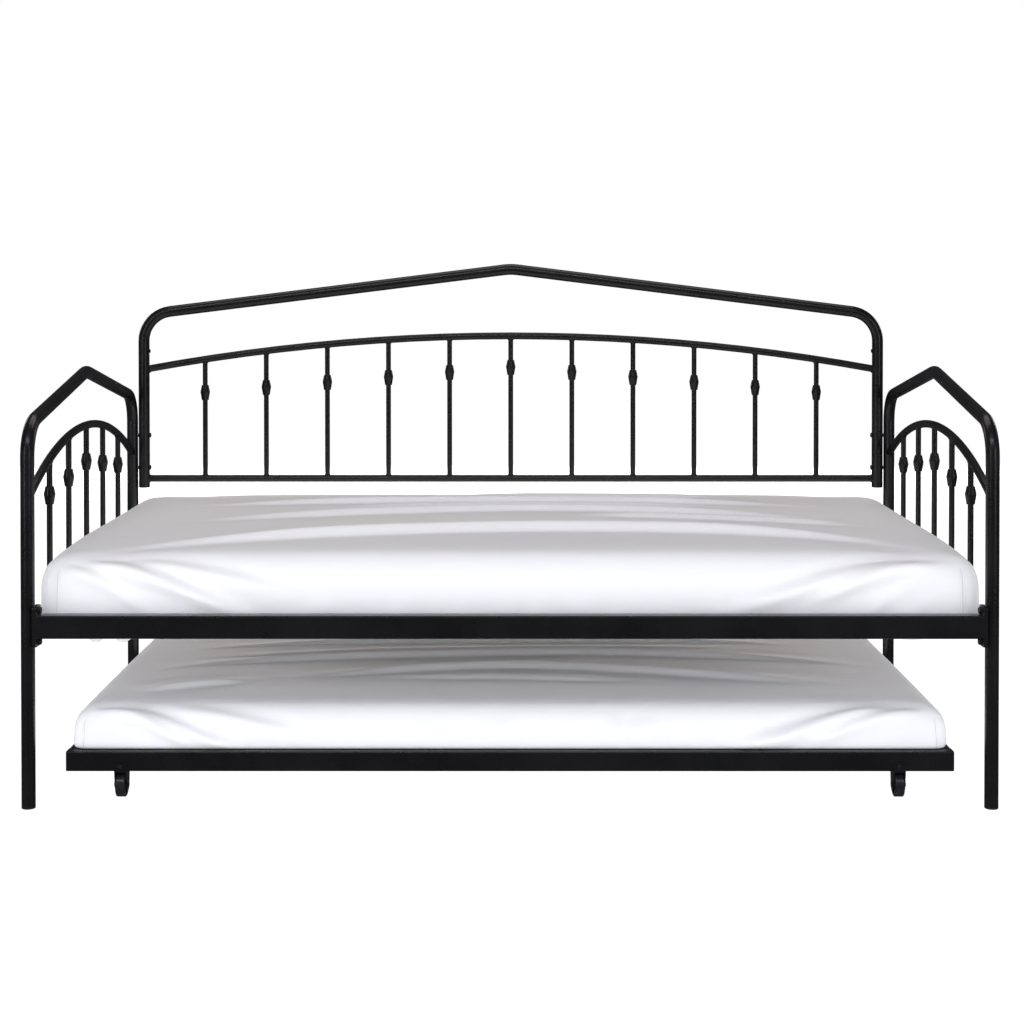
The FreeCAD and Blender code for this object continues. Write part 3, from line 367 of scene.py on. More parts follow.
@dataclass(frozen=True)
class MouldedPlastic:
    """Matt moulded plastic with a spark-eroded grain and scuffs."""

    tint: Colour = (0.011, 0.011, 0.0115)
    scuffed: Colour = (0.05, 0.05, 0.05)
    roughness: float = 0.46
    grain: float = 0.00006

    def make(self, desk: Desk) -> bpy.types.Material:
        """Builds the finish.

        Args:
            desk: An empty material's desk.

        Returns:
            The material.
        """
        scuff = desk.noise(1.0, 4.0, 0.7, desk.stretched((60.0, 60.0, 420.0))).over(0.6, 0.78)
        pits = desk.grains(1900.0)
        return desk.surface(
            Base_Color=desk.blend(scuff * 0.35, self.tint, self.scuffed),
            Roughness=self.roughness + scuff * 0.14 + pits * 0.08, Specular_IOR_Level=0.45,
            Normal=desk.bump(pits, self.grain),
        )


@dataclass(frozen=True)
class WheelPlastic:
    """Glossy nylon wheel, polished on its tread by rolling, with dust in its recess."""

    tint: Colour = (0.010, 0.010, 0.012)
    dust: Colour = (0.075, 0.07, 0.065)

    def make(self, desk: Desk) -> bpy.types.Material:
        """Builds the finish.

        Args:
            desk: An empty material's desk.

        Returns:
            The material.
        """
        streaks = desk.noise(1.0, 3.0, 0.6, desk.stretched((520.0, 30.0, 30.0)))
        cloud = desk.noise(90.0, 4.0, 0.6)
        return desk.surface(
            Base_Color=desk.blend(cloud.over(0.56, 0.75) * 0.3, self.tint, self.dust),
            Roughness=0.22 + streaks * 0.12 + cloud * 0.08, Specular_IOR_Level=0.6,
            Coat_Weight=0.2, Coat_Roughness=0.1, Normal=desk.bump(streaks, 0.00004),
        )


@dataclass(frozen=True)
class BlackenedFastener:
    """Black-passivated steel with brighter rubbed spots on its heads."""

    tint: Colour = (0.018, 0.018, 0.019)
    rubbed: Colour = (0.12, 0.12, 0.125)

    def make(self, desk: Desk) -> bpy.types.Material:
        """Builds the finish.

        Args:
            desk: An empty material's desk.

        Returns:
            The material.
        """
        rub = desk.noise(420.0, 4.0, 0.7).over(0.6, 0.72)
        fine = desk.noise(1800.0, 2.0)
        return desk.surface(
            Base_Color=desk.blend(rub * 0.4, self.tint, self.rubbed), Metallic=rub * 0.5 + 0.35,
            Roughness=0.4 - rub * 0.1 + fine * 0.08, Normal=desk.bump(fine, 0.00003),
        )


@dataclass(frozen=True)
class ZincPlate:
    """Bright zinc plate, with the fine drawn lines and dulled patches of pressed steel."""

    bright: Colour = (0.58, 0.59, 0.6)
    dulled: Colour = (0.36, 0.36, 0.355)

    def make(self, desk: Desk) -> bpy.types.Material:
        """Builds the finish.

        Args:
            desk: An empty material's desk.

        Returns:
            The material.
        """
        patch = desk.noise(70.0, 5.0, 0.6).over(0.4, 0.7)
        drawn = desk.noise(1.0, 2.0, 0.5, desk.stretched((2400.0, 200.0, 200.0)))
        return desk.surface(
            Base_Color=desk.blend(patch, self.bright, self.dulled), Metallic=1.0,
            Roughness=0.26 + patch * 0.16 + drawn * 0.06, Normal=desk.bump(drawn, 0.00002),
        )


@dataclass(frozen=True)
class Ticking:
    """Off-white mattress ticking with a woven stripe and a diamond quilting pattern."""

    ground: Colour = (0.72, 0.70, 0.66)
    stripe: Colour = (0.42, 0.44, 0.47)
    stripe_pitch: float = 0.036
    quilt_pitch: float = 0.095
    thread_pitch: float = 0.0008

    def make(self, desk: Desk) -> bpy.types.Material:
        """Builds the finish.

        Args:
            desk: An empty material's desk.

        Returns:
            The material.
        """
        axes = desk.node("ShaderNodeSeparateXYZ", None, {0: desk.place})
        x, y, z = (Signal(desk, axes.outputs[k]) for k in range(3))
        band = desk.wave(x, self.stripe_pitch).over(0.72, 0.8)
        pair = desk.wave(x, self.stripe_pitch / 3, 1.2).over(0.86, 0.92) * 0.5
        weave = desk.wave(x, self.thread_pitch) * desk.wave(y + z, self.thread_pitch) * 0.5 + 0.5
        turn = 2 * self.quilt_pitch
        quilt = abs(desk.wave(x + y, turn)).lowest(abs(desk.wave(x - y, turn)))
        pucker = quilt.over(0.0, 0.5)
        slub = desk.noise(1.0, 3.0, 0.6, desk.stretched((900.0, 30.0, 30.0)))
        shade = desk.blend(band.highest(pair) * 0.7, self.ground, self.stripe)
        shade = desk.blend((1.0 - quilt.over(0.0, 0.06)) * 0.35, shade, self.stripe)
        pillow = desk.bump(pucker, 0.004)
        return desk.surface(
            Base_Color=desk.blend(slub * 0.12, shade, self.stripe), Roughness=0.82 + weave * 0.08,
            Specular_IOR_Level=0.25, Sheen_Weight=0.15, Sheen_Roughness=0.4,
            Normal=desk.bump(weave, 0.00012, pillow),
        )


SEAM_U = 0.93  # the corner seams' place along the flat cloth, in metres from its middle
SIDE_V = 0.49  # where the flat cloth's top ends and its sides start
UNDERSIDE_V = 10.0  # how far the hem's underside is set apart on the flat cloth


@dataclass(frozen=True)
class CottonSheet:
    """White sateen cotton, woven along its own UV map, with felled corner seams whose groove and
    stitches are darkened with painted shade.
    """

    white: Colour = (0.88, 0.88, 0.895)
    slubbed: Colour = (0.845, 0.84, 0.835)
    # the grey of the painted shade in each seam's groove and stitch dimples
    seam_painted_shade: Colour = (0.50, 0.50, 0.53)
    thread_pitch: float = 0.00055
    seam_half_width: float = 0.0011
    fell_width: float = 0.006
    stitch_pitch: float = 0.0032
    stitch_line: float = 0.0052
    crumple_depth: float = 0.0010

    def make(self, desk: Desk) -> bpy.types.Material:
        """Builds the finish.

        Args:
            desk: An empty material's desk.

        Returns:
            The material.
        """
        cloth = desk.node("ShaderNodeUVMap", {"uv_map": "cloth"}).outputs[0]
        axes = desk.node("ShaderNodeSeparateXYZ", None, {0: cloth})
        u, v = Signal(desk, axes.outputs[0]), Signal(desk, axes.outputs[1])
        weave = desk.wave(u, self.thread_pitch) * desk.wave(v, self.thread_pitch) * 0.5 + 0.5
        drawn = desk.node("ShaderNodeMapping", None, {"Vector": cloth, "Scale": (14.0, 700.0, 1.0)})
        slub = desk.noise(1.0, 4.0, 0.6, drawn.outputs[0])
        softness = desk.noise(5.0, 3.0, 0.5)
        on_side = abs(v).over(SIDE_V + 0.004, SIDE_V + 0.03)
        from_seam = abs(abs(u) - SEAM_U)
        groove = (1.0 - from_seam.over(0.0, self.seam_half_width)) * on_side
        felled = (1.0 - from_seam.over(self.fell_width, self.fell_width * 1.1)) * on_side
        stitch = desk.wave(v, self.stitch_pitch).over(-0.2, 0.4)
        stitches = (1.0 - abs(from_seam - self.stitch_line).over(0.0003, 0.0006)) * stitch * on_side
        shade = desk.blend(slub.over(0.5, 0.8) * 0.5, self.white, self.slubbed)
        # Painted shade: the seam's groove, and more faintly its stitch dimples, are darkened
        # towards a grey where the bump below dips them.
        shade = desk.blend(groove * 0.75 + stitches * 0.25, shade, self.seam_painted_shade)
        rumple = desk.noise(1.0, 4.0, 0.55, desk.stretched((16.0, 60.0, 60.0)))
        crumple = desk.bump(rumple, self.crumple_depth)
        seam = desk.bump(felled * 0.6 - groove - stitches * 0.3, 0.0006, crumple)
        return desk.surface(
            Base_Color=shade, Roughness=0.62 + (softness - 0.5) * 0.12 + (weave - 0.5) * 0.04,
            Specular_IOR_Level=0.3, Sheen_Weight=0.12, Sheen_Roughness=0.35,
            Normal=desk.bump(weave, 0.00004, seam),
        )


@dataclass(frozen=True)
class StudioFloor:
    """A pale painted floor that is softly lit from within, so that it stays near white."""

    tint: Colour = (0.18, 0.18, 0.18)
    pale: Colour = (0.2, 0.2, 0.2)
    glow: float = 0.99

    def make(self, desk: Desk) -> bpy.types.Material:
        """Builds the finish.

        Args:
            desk: An empty material's desk.

        Returns:
            The material.
        """
        cloud = desk.noise(0.7, 2.0)
        return desk.surface(
            Base_Color=desk.blend(cloud * 0.2, self.tint, self.pale), Roughness=0.85,
            Specular_IOR_Level=0.1, Emission_Color=(1.0, 1.0, 1.0, 1.0),
            Emission_Strength=self.glow,
        )


def finishes() -> dict[Slot, bpy.types.Material]:
    """Builds the finishes of the CAD slots.

    Returns:
        One material for each slot of the record.
    """
    recipes = {
        Slot.POWDER: PowderCoat(),
        Slot.MOULDED: MouldedPlastic(),
        Slot.WHEEL: WheelPlastic(),
        Slot.FASTENER: BlackenedFastener(),
        Slot.ZINC: ZincPlate(),
        Slot.TICKING: Ticking(),
        Slot.COTTON: CottonSheet(),
    }
    return {slot: recipe.make(Desk(slot.value)) for slot, recipe in recipes.items()}


def dress_cad(materials: dict[Slot, bpy.types.Material]) -> None:
    """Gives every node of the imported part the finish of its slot.

    Args:
        materials: Each slot's material.
    """
    for part in frame["record"]["subparts"]:
        mesh = frame["nodes"][part["node"]].data
        mesh.materials.clear()
        mesh.materials.append(materials[Slot(part["material_slot"])])
        LOG.info("dressed %s in %s", part["node"], part["material_slot"])


def place_piece(
    name: str, shape: bmesh.types.BMesh, body: str, material: bpy.types.Material
) -> bpy.types.Object:
    """Turns a finished bmesh into a piece that rides on a body.

    Args:
        name: The piece's name.
        shape: Its mesh, already in place; it is freed.
        body: The body that it moves with.
        material: That slot's material.

    Returns:
        The new object.
    """
    for face in shape.faces:
        face.smooth = True
    mesh = bpy.data.meshes.new(name)
    shape.to_mesh(mesh)
    shape.free()
    mesh.materials.append(material)
    piece = hang(name, mesh)
    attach(piece, body)
    LOG.info("built %s: %d faces", name, len(mesh.polygons))
    return piece


# ---------- weld beads ----------


@dataclass(frozen=True)
class BarredFrame:
    """Where the tubes of an arm or of the back panel meet."""

    foot: Vector  # the middle of the straight lower rail
    along: Vector  # unit direction of the rails
    bars: tuple[float, ...]  # each spindle's distance along the rails
    ends: tuple[float, ...]  # the two uprights' distances along the rails
    crown: float  # height of the arched rail's middle
    arch: float  # the arched rail's radius

    def arch_at(self, spot: float) -> tuple[float, float]:
        """The arched rail's height at a distance along the rails, and its slope there."""
        level = math.sqrt(self.arch**2 - spot**2)
        return self.crown - self.arch + level, spot / level


@dataclass
class WeldBeads:
    """The fillet welds round the frame's joints, each saddled to the tube that it runs on."""

    material: bpy.types.Material
    spindle_radius: float = 0.00625
    rail_radius: float = 0.009
    post_radius: float = 0.014
    bead: float = 0.0017
    end_bead: float = 0.002125
    scallops: int = 11
    scallop_depth: float = 0.18  # of the bead's radius
    around: int = 26
    arm_pitch: float = 0.165
    arm_crown: float = 0.7345
    arm_arch: float = 1.2
    panel_spaces: int = 12
    panel_crown: float = 0.9257
    panel_arch: float = 5.15

    def ring(
        self, shape: bmesh.types.BMesh, seat: Vector, outward: Vector, host: Vector, radii: Point
    ) -> None:
        """Adds one bead round a tube, where it meets another tube.

        Args:
            shape: The mesh that the bead is added to.
            seat: Where the two centrelines cross.
            outward: Unit direction from the host tube along the joining tube.
            host: Unit direction of the host tube.
            radii: Radii of the joining tube, of the host tube and of the bead.
        """
        joining, hosting, bead = radii
        across = host.cross(outward).normalized()
        along = outward.cross(across).normalized()
        start = seat + across * joining + outward * hosting
        profile = bmesh.ops.create_circle(shape, segments=6, radius=bead)["verts"]
        upright = Matrix((across, outward, along)).transposed().to_4x4()
        bmesh.ops.transform(shape, matrix=Matrix.Translation(start) @ upright, verts=profile)
        edges = [e for e in shape.edges if e.verts[0] in profile and e.verts[1] in profile]
        before = len(shape.verts) - len(profile)
        bmesh.ops.spin(
            shape, geom=profile + edges, cent=seat, axis=outward, angle=2 * math.pi,
            steps=self.around, use_merge=True,
        )
        shape.verts.ensure_lookup_table()
        for vert in shape.verts[before:]:
            offset = vert.co - seat
            side, turn = offset.dot(across), math.atan2(offset.dot(along), offset.dot(across))
            reach = max(hosting * hosting - min(side * side, joining * joining), 0.0)
            ripple = self.scallop_depth * bead * math.sin(self.scallops * turn)
            centre = (offset - outward * offset.dot(outward)).normalized()
            vert.co += outward * (math.sqrt(reach) - hosting) + centre * ripple

    def add_frame(self, shape: bmesh.types.BMesh, tubes: BarredFrame) -> None:
        """Adds the beads of one barred frame.

        Args:
            shape: The mesh that they are added to.
            tubes: The frame.
        """
        small = (self.spindle_radius, self.rail_radius, self.bead)
        large = (self.rail_radius, self.post_radius, self.end_bead)
        for spot in tubes.bars:
            height, slope = tubes.arch_at(spot)
            seat = tubes.foot + tubes.along * spot
            self.ring(shape, seat, UP, tubes.along, small)
            seat.z = height
            self.ring(shape, seat, -UP, (tubes.along - UP * slope).normalized(), small)
        height, lean = tubes.arch_at(tubes.ends[1])
        for spot, inward in zip(tubes.ends, (tubes.along, -tubes.along)):
            seat = tubes.foot + tubes.along * spot
            self.ring(shape, seat, inward, UP, large)
            seat.z = height
            self.ring(shape, seat, (inward + UP * lean).normalized(), UP, large)

    def arm(self, side: str) -> BarredFrame:
        """The joints of one arm.

        Args:
            side: "left" or "right".

        Returns:
            Its barred frame.
        """
        foot = middle_of(side + "_arm_lower_rail")
        foot.y = 0.0
        ends = tuple(middle_of(rail).y for rail in ("front_side_rail", "back_side_rail"))
        bars = tuple(self.arm_pitch * k for k in range(-2, 3))
        return BarredFrame(foot, Vector((0, 1, 0)), bars, ends, self.arm_crown, self.arm_arch)

    def panel(self) -> BarredFrame:
        """The joints of the back panel.

        Returns:
            Its barred frame.
        """
        foot = middle_of("panel_lower_rail")
        foot.x = 0.0
        ends = tuple(middle_of(f"panel_{side}_upright").x for side in ("left", "right"))
        bars = tuple(2 * ends[1] / self.panel_spaces * k for k in range(-5, 6))
        return BarredFrame(foot, Vector((1, 0, 0)), bars, ends, self.panel_crown, self.panel_arch)

    def build(self) -> None:
        """Builds the beads of both arms and of the panel as three pieces."""
        for name, tubes in (
            ("left_arm_welds", self.arm("left")),
            ("right_arm_welds", self.arm("right")),
            ("panel_welds", self.panel()),
        ):
            shape = bmesh.new()
            self.add_frame(shape, tubes)
            bmesh.ops.remove_doubles(shape, verts=shape.verts[:], dist=1e-6)
            bmesh.ops.recalc_face_normals(shape, faces=shape.faces[:])
            place_piece(name, shape, "bed_frame", self.material)


# ---------- mattresses ----------


@dataclass(frozen=True)
class Fold:
    """One fold of cloth: a line on the mattress, and the shape of the cloth raised along it."""

    line: tuple[Point, ...]
    height: float
    width: float
    steep: float  # the steep side's width, as a share of the other's
    side: int  # 1 or -1, for which side of the line is steep
    fade: float  # the share of the line over which each end dies away


@dataclass
class MattressForm:
    """A closed, rounded mattress, from its box to its settled shape."""

    low: Vector
    high: Vector
    cells: tuple[int, int, int]
    round_plan: float
    round_top: tuple[float, float]  # inwards and downwards
    round_bottom: tuple[float, float]  # inwards and upwards
    crown: float  # how far the middle of the top rises
    end_drop: float
    front_drop: float
    swell: float  # the most that the filling can push a face out
    seam_x: float  # the corner seams' place along the mattress
    pressure: float = 0.8
    frames: int = 20

    def box_grid(self) -> bmesh.types.BMesh:
        """The box as a regular grid of quads, with its flat cloth coordinates as UVs.

        Returns:
            A bmesh whose sides have the wanted number of cells.
        """
        shape = bmesh.new()
        size, centre = self.high - self.low, (self.low + self.high) / 2
        bmesh.ops.create_cube(
            shape, size=1.0, matrix=Matrix.Translation(centre) @ Matrix.Diagonal((*size, 1.0))
        )
        for axis in range(3):
            edges = [e for e in shape.edges if abs((e.verts[0].co - e.verts[1].co)[axis]) > 1e-6]
            cuts = self.cells[axis] - 1
            bmesh.ops.subdivide_edges(shape, edges=edges, cuts=cuts, use_grid_fill=True)
        self.lay_cloth(shape)
        return shape

    def lay_cloth(self, shape: bmesh.types.BMesh) -> None:
        """Gives each face the flat place that its cloth was cut from.

        Args:
            shape: The box's mesh.
        """
        cloth = shape.loops.layers.uv.new("cloth")
        shape.normal_update()
        middle, along = (self.low.y + self.high.y) / 2, SEAM_U / self.seam_x
        for face in shape.faces:
            normal = face.normal
            for loop in face.loops:
                x, y, z = loop.vert.co
                down = self.high.z - z
                if abs(normal.z) > 0.5:
                    place = (x * along, y - middle + (0.0 if normal.z > 0 else UNDERSIDE_V))
                elif abs(normal.y) > 0.5:
                    place = (x * along, math.copysign(SIDE_V + down, normal.y))
                else:
                    place = (x + math.copysign(down + 0.2, normal.x), y * 0.98)
                loop[cloth].uv = place

    def rounded(self, point: Vector) -> Vector:
        """Moves a point of the box onto the rounded form.

        Args:
            point: A point on one of the box's faces.

        Returns:
            Its place, with the corners rounded in plan and then the top and bottom edges.
        """
        middle = (self.low.z + self.high.z) / 2
        upward = max(0.0, (point.z - middle) / (self.high.z - middle))
        plan = self.round_plan
        plan += max(0.0, self.round_top[0] - plan) * upward * upward * (3 - 2 * upward)
        inner_x = min(max(point.x, self.low.x + plan), self.high.x - plan)
        inner_y = min(max(point.y, self.low.y + plan), self.high.y - plan)
        away = Vector((point.x - inner_x, point.y - inner_y, 0.0))
        if away.length < 1e-9:
            return point
        reach = max(abs(away.x), abs(away.y))
        upper = point.z > middle
        run, rise = self.round_top if upper else self.round_bottom
        level = self.high.z - rise if upper else self.low.z + rise
        out = max(0.0, 1.0 - (plan - reach) / run)
        up = max(0.0, (point.z - level) / rise if upper else (level - point.z) / rise)
        height = point.z
        if out > 0.0 and up > 0.0:
            size = math.hypot(out, up)
            reach = plan - run * (1.0 - out / size)
            height = level + (rise if upper else -rise) * up / size
        away = away.normalized() * reach
        return Vector((inner_x + away.x, inner_y + away.y, height))

    def crowned(self, point: Vector) -> Vector:
        """Lifts the middle of the top and lets its ends and front fall away.

        Args:
            point: A point of the rounded form.

        Returns:
            Its new place.
        """
        centre, half = (self.low + self.high) / 2, (self.high - self.low) / 2
        across, back = (point.x - centre.x) / half.x, (point.y - centre.y) / half.y
        share = max(0.0, (point.z - self.low.z) / (2 * half.z)) ** 2
        dome = self.crown * (1 - across**4) * (1 - back**4)
        fall = self.end_drop * abs(across) ** 5 + self.front_drop * max(0.0, -back) ** 3
        return Vector((point.x, point.y, point.z + share * (dome - fall)))

    def settled(self, name: str) -> bpy.types.Object:
        """The form after its filling has pushed its faces out, as an object with one subdivision.

        Args:
            name: A name for the object.

        Returns:
            An object at the origin, not yet on a body.
        """
        shape = self.box_grid()
        for vert in shape.verts:
            vert.co = self.crowned(self.rounded(vert.co))
        mesh = bpy.data.meshes.new(name)
        shape.to_mesh(mesh)
        shape.free()
        piece = hang(name, mesh)
        self.inflate(piece)
        finer = piece.modifiers.new("finer", "SUBSURF")
        finer.levels = finer.render_levels = 1
        self.bake(piece)
        return piece

    def inflate(self, piece: bpy.types.Object) -> None:
        """Runs the filling's pressure on the form, with its underside held and each move capped.

        Args:
            piece: The form's object.
        """
        mesh, scene = piece.data, bpy.context.scene
        start = read(mesh)
        held = piece.vertex_groups.new(name="held")
        floor = self.low.z + self.round_bottom[1] * 0.3
        held.add([int(k) for k in np.nonzero(start[:, 2] < floor)[0]], 1.0, "REPLACE")
        cloth = piece.modifiers.new("filling", "CLOTH")
        rules = cloth.settings
        rules.quality = 5
        rules.mass = 0.3
        rules.tension_stiffness = rules.compression_stiffness = 40.0
        rules.bending_stiffness = 2.0
        rules.use_pressure = True
        rules.uniform_pressure_force = self.pressure
        rules.vertex_group_mass = "held"
        rules.effector_weights.gravity = 0.0
        cloth.collision_settings.use_collision = False
        for number in range(1, self.frames + 1):
            scene.frame_set(number)
        shown = piece.evaluated_get(bpy.context.evaluated_depsgraph_get()).data
        step = read(shown) - start
        length = np.maximum(np.linalg.norm(step, axis=1, keepdims=True), 1e-9)
        step *= np.tanh(length / self.swell) * self.swell / length
        most = np.linalg.norm(step, axis=1).max()
        LOG.info("%s swelled by up to %.1f mm", piece.name, most * 1000)
        piece.modifiers.remove(cloth)
        piece.vertex_groups.clear()
        scene.frame_set(1)
        mesh.vertices.foreach_set("co", (start + step).ravel())
        mesh.update()

    @staticmethod
    def bake(piece: bpy.types.Object) -> None:
        """Applies a piece's modifiers to its mesh.

        Args:
            piece: The piece.
        """
        shown = piece.evaluated_get(bpy.context.evaluated_depsgraph_get())
        old, new = piece.data, bpy.data.meshes.new_from_object(shown)
        new.name = old.name
        piece.modifiers.clear()
        piece.data = new
        bpy.data.meshes.remove(old)


@dataclass
class MadeUpMattress:
    """A padded mattress in a fitted sheet, both settled on their slats."""

    body: str
    pad_node: str
    sheet_node: str
    form: MattressForm
    folds: tuple[Fold, ...]
    materials: dict[Slot, bpy.types.Material]
    flat: tuple[float, float]
    flat_area: float
    rests_on: list[str]
    hem: float = 0.09
    hem_corner: float = 0.10
    gather_depth: float = 0.0026
    gathers: int = 260
    cloth_gap: float = 0.003
    cloth_thickness: float = 0.0011
    smoothing: float = 0.25
    pucker_count: int = 70
    long_side_puckers: float = 0.66
    seed: int = 3
    droops: tuple[Point, ...] = ()  # each slack loop's middle along X, its half width and depth
    droop_y: float = 0.0
    droop_reach: float = 0.026

    def small_folds(self) -> list[Fold]:
        """Draws the short puckers that the hem's elastic pulls up the foot of each side.

        Returns:
            The puckers, in the order drawn.
        """
        dice = random.Random(self.seed)
        low, high = self.form.low, self.form.high
        foot = low.z + 0.004
        marks = ((0.0, 0.0), (0.4, 0.5), (1.0, 1.0))
        made = []
        for _ in range(self.pucker_count):
            lean, rise, spot = dice.uniform(-0.02, 0.05), dice.uniform(0.04, 0.085), dice.random()
            if dice.random() < self.long_side_puckers:
                y, x = dice.choice((low.y, high.y)), low.x + (high.x - low.x) * (0.05 + 0.9 * spot)
                line = tuple((x + lean * a, y, foot + rise * b) for a, b in marks)
            else:
                x, y = dice.choice((low.x, high.x)), low.y + (high.y - low.y) * (0.08 + 0.84 * spot)
                line = tuple((x, y + lean * a, foot + rise * b) for a, b in marks)
            height, width = dice.uniform(0.002, 0.005), dice.uniform(0.012, 0.020)
            made.append(Fold(line, height, width, steep=0.8, side=1, fade=0.5))
        return made

    def raise_folds(self, piece: bpy.types.Object) -> None:
        """Raises every fold on the sheet, each along its own line over the surface.

        Args:
            piece: The sheet.
        """
        mesh = piece.data
        where, facing = read(mesh), read(mesh, "normal")
        skin = BVHTree.FromObject(piece, bpy.context.evaluated_depsgraph_get())
        lift = np.zeros(len(where), np.float32)
        for fold in (*self.folds, *self.small_folds()):
            lift += self.fold_lift(fold, skin, where)
        free = np.clip((where[:, 2] - self.form.low.z - 0.001) / 0.012, 0.0, 1.0)
        lift = np.maximum(lift, -0.6 * self.cloth_gap) * free
        mesh.vertices.foreach_set("co", (where + facing * lift[:, None]).ravel())
        mesh.update()

    def fold_lift(self, fold: Fold, skin: BVHTree, where: np.ndarray) -> np.ndarray:
        """How far one fold lifts each point of the sheet.

        Args:
            fold: The fold.
            skin: The sheet's surface, which the fold's line is laid on.
            where: The sheet's points.

        Returns:
            One distance for each point, in metres.
        """
        spots, normals = self.laid_line(fold, skin)
        ahead = np.gradient(spots, axis=0)
        steps = np.linalg.norm(ahead, axis=1, keepdims=True)
        ahead /= np.maximum(steps, 1e-9)
        aside = np.cross(normals, ahead) * fold.side
        reach = fold.width * 4.0
        low, high = spots.min(0) - reach, spots.max(0) + reach
        near = np.nonzero(((where > low) & (where < high)).all(1))[0]
        lift = np.zeros(len(where), np.float32)
        if len(near) == 0:
            return lift
        gaps = where[near][:, None, :] - spots[None]
        nearest = (gaps**2).sum(2).argmin(1)
        gap = gaps[np.arange(len(near)), nearest]
        off = (gap * aside[nearest]).sum(1)
        along = (nearest + (gap * ahead[nearest]).sum(1) / steps[nearest, 0]) / (len(spots) - 1)
        ends = np.clip(np.minimum(along, 1.0 - along) / fold.fade, 0.0, 1.0)
        ends = ends * ends * (3.0 - 2.0 * ends)
        # The crest is blunter on its wide side, with a trough behind it and a toe before it.
        wide, narrow = fold.width, fold.width * fold.steep
        ahead_of = off > 0
        sharpness = np.where(ahead_of, 2.4, 1.6)
        crest = np.exp(-np.abs(off / np.where(ahead_of, narrow, wide)) ** sharpness)
        trough = 0.3 * np.exp(-(((off + 2.1 * wide) / (0.9 * wide)) ** 2))
        toe = 0.22 * np.exp(-(((off - 1.9 * narrow) / (0.6 * wide)) ** 2))
        lift[near] = fold.height * ends * (crest - trough - toe)
        return lift

    @staticmethod
    def laid_line(fold: Fold, skin: BVHTree) -> tuple[np.ndarray, np.ndarray]:
        """A fold's line in short steps on the surface, with the surface's normals.

        Args:
            fold: The fold.
            skin: The surface.

        Returns:
            The line's points and the normals at them.
        """
        guide = bpy.data.curves.new("guide", "CURVE")
        guide.dimensions = "3D"
        spline = guide.splines.new("NURBS")
        spline.points.add(len(fold.line) - 1)
        for point, place in zip(spline.points, fold.line):
            point.co = (*place, 1.0)
        spline.use_endpoint_u = True
        spline.order_u = min(4, len(fold.line))
        spline.resolution_u = 12
        holder = bpy.data.objects.new("guide", guide)
        mesh = bpy.data.meshes.new_from_object(holder)
        raw = np.array([v.co for v in mesh.vertices], float)
        bpy.data.meshes.remove(mesh)
        bpy.data.objects.remove(holder)
        bpy.data.curves.remove(guide)
        length = np.r_[0.0, np.cumsum(np.linalg.norm(np.diff(raw, axis=0), axis=1))]
        marks = np.linspace(0.0, length[-1], max(6, int(length[-1] / 0.012)))
        even = np.stack([np.interp(marks, length, raw[:, k]) for k in range(3)], axis=1)
        spots, normals = [], []
        for place in even:
            spot, normal, _, _ = skin.find_nearest(Vector(place))
            spots.append(spot[:])
            normals.append(normal[:])
        return np.array(spots), np.array(normals)

    def open_hem(self, shape: bmesh.types.BMesh) -> None:
        """Cuts the underside away inside the hem, and rounds and gathers the hem's edge.

        Args:
            shape: The sheet's mesh.
        """
        low, high = self.form.low, self.form.high
        centre, half = (low + high) / 2, (high - low) / 2 - Vector((self.hem, self.hem, 0))
        corner, under = self.hem_corner, low.z + self.form.round_bottom[1] * 0.25

        def outside(x: float, y: float) -> float:
            """The distance outside the hem's rounded opening, negative inside it."""
            dx, dy = abs(x - centre.x) - half.x + corner, abs(y - centre.y) - half.y + corner
            return math.hypot(max(dx, 0.0), max(dy, 0.0)) + min(max(dx, dy), 0.0) - corner

        middles = ((face, face.calc_center_median()) for face in shape.faces)
        waste = [face for face, m in middles if m.z < under and outside(m.x, m.y) < 0]
        bmesh.ops.delete(shape, geom=waste, context="FACES")
        for vert in [v for v in shape.verts if v.is_boundary]:
            gap = outside(vert.co.x, vert.co.y)
            inward = Vector((centre.x - vert.co.x, centre.y - vert.co.y, 0)).normalized()
            if abs(gap) > 1e-5:
                vert.co += inward * gap
        for vert in shape.verts:
            if vert.co.z < under:
                gap = outside(vert.co.x, vert.co.y)
                gather = max(0.0, 1.0 - gap / (self.hem * 0.8))
                turn = math.atan2(vert.co.y - centre.y, vert.co.x - centre.x)
                wave = 0.5 + 0.5 * math.sin(self.gathers * turn + 3 * math.sin(9 * turn))
                vert.co.z += self.gather_depth * gather * wave
                vert.co.z -= self.droop(vert.co.x, vert.co.y)

    def droop(self, x: float, y: float) -> float:
        """How far the slack hem hangs below the slats.

        Args:
            x: The place along the bed.
            y: The place across it.

        Returns:
            The depth in metres, 0 where the hem is taut.
        """
        depth = 0.0
        for middle, reach, fall in self.droops:
            across, deep = (x - middle) / reach, (y - self.droop_y) / self.droop_reach
            if abs(across) < 1 and abs(deep) < 1:
                depth = max(depth, fall * (1 - across**4) * math.cos(deep * math.pi / 2))
        return depth

    def build(self) -> None:
        """Builds the mattress and its sheet."""
        sheet = self.form.settled(self.sheet_node.replace("main", "upper") + "_cloth")
        pad = self.make_pad(sheet)
        self.raise_folds(sheet)
        shape = bmesh.new()
        shape.from_mesh(sheet.data)
        self.open_hem(shape)
        bmesh.ops.smooth_vert(
            shape, verts=[v for v in shape.verts if not v.is_boundary], factor=self.smoothing,
            use_axis_x=True, use_axis_y=True, use_axis_z=True,
        )
        for face in shape.faces:
            face.smooth = True
        shape.to_mesh(sheet.data)
        shape.free()
        sheet.data.materials.append(self.materials[Slot.COTTON])
        cloth = sheet.modifiers.new("cloth", "SOLIDIFY")
        cloth.thickness, cloth.offset = self.cloth_thickness, -1.0
        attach(sheet, self.body)
        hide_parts(self.sheet_node)
        LOG.info("built %s: %d faces", sheet.name, len(sheet.data.polygons))

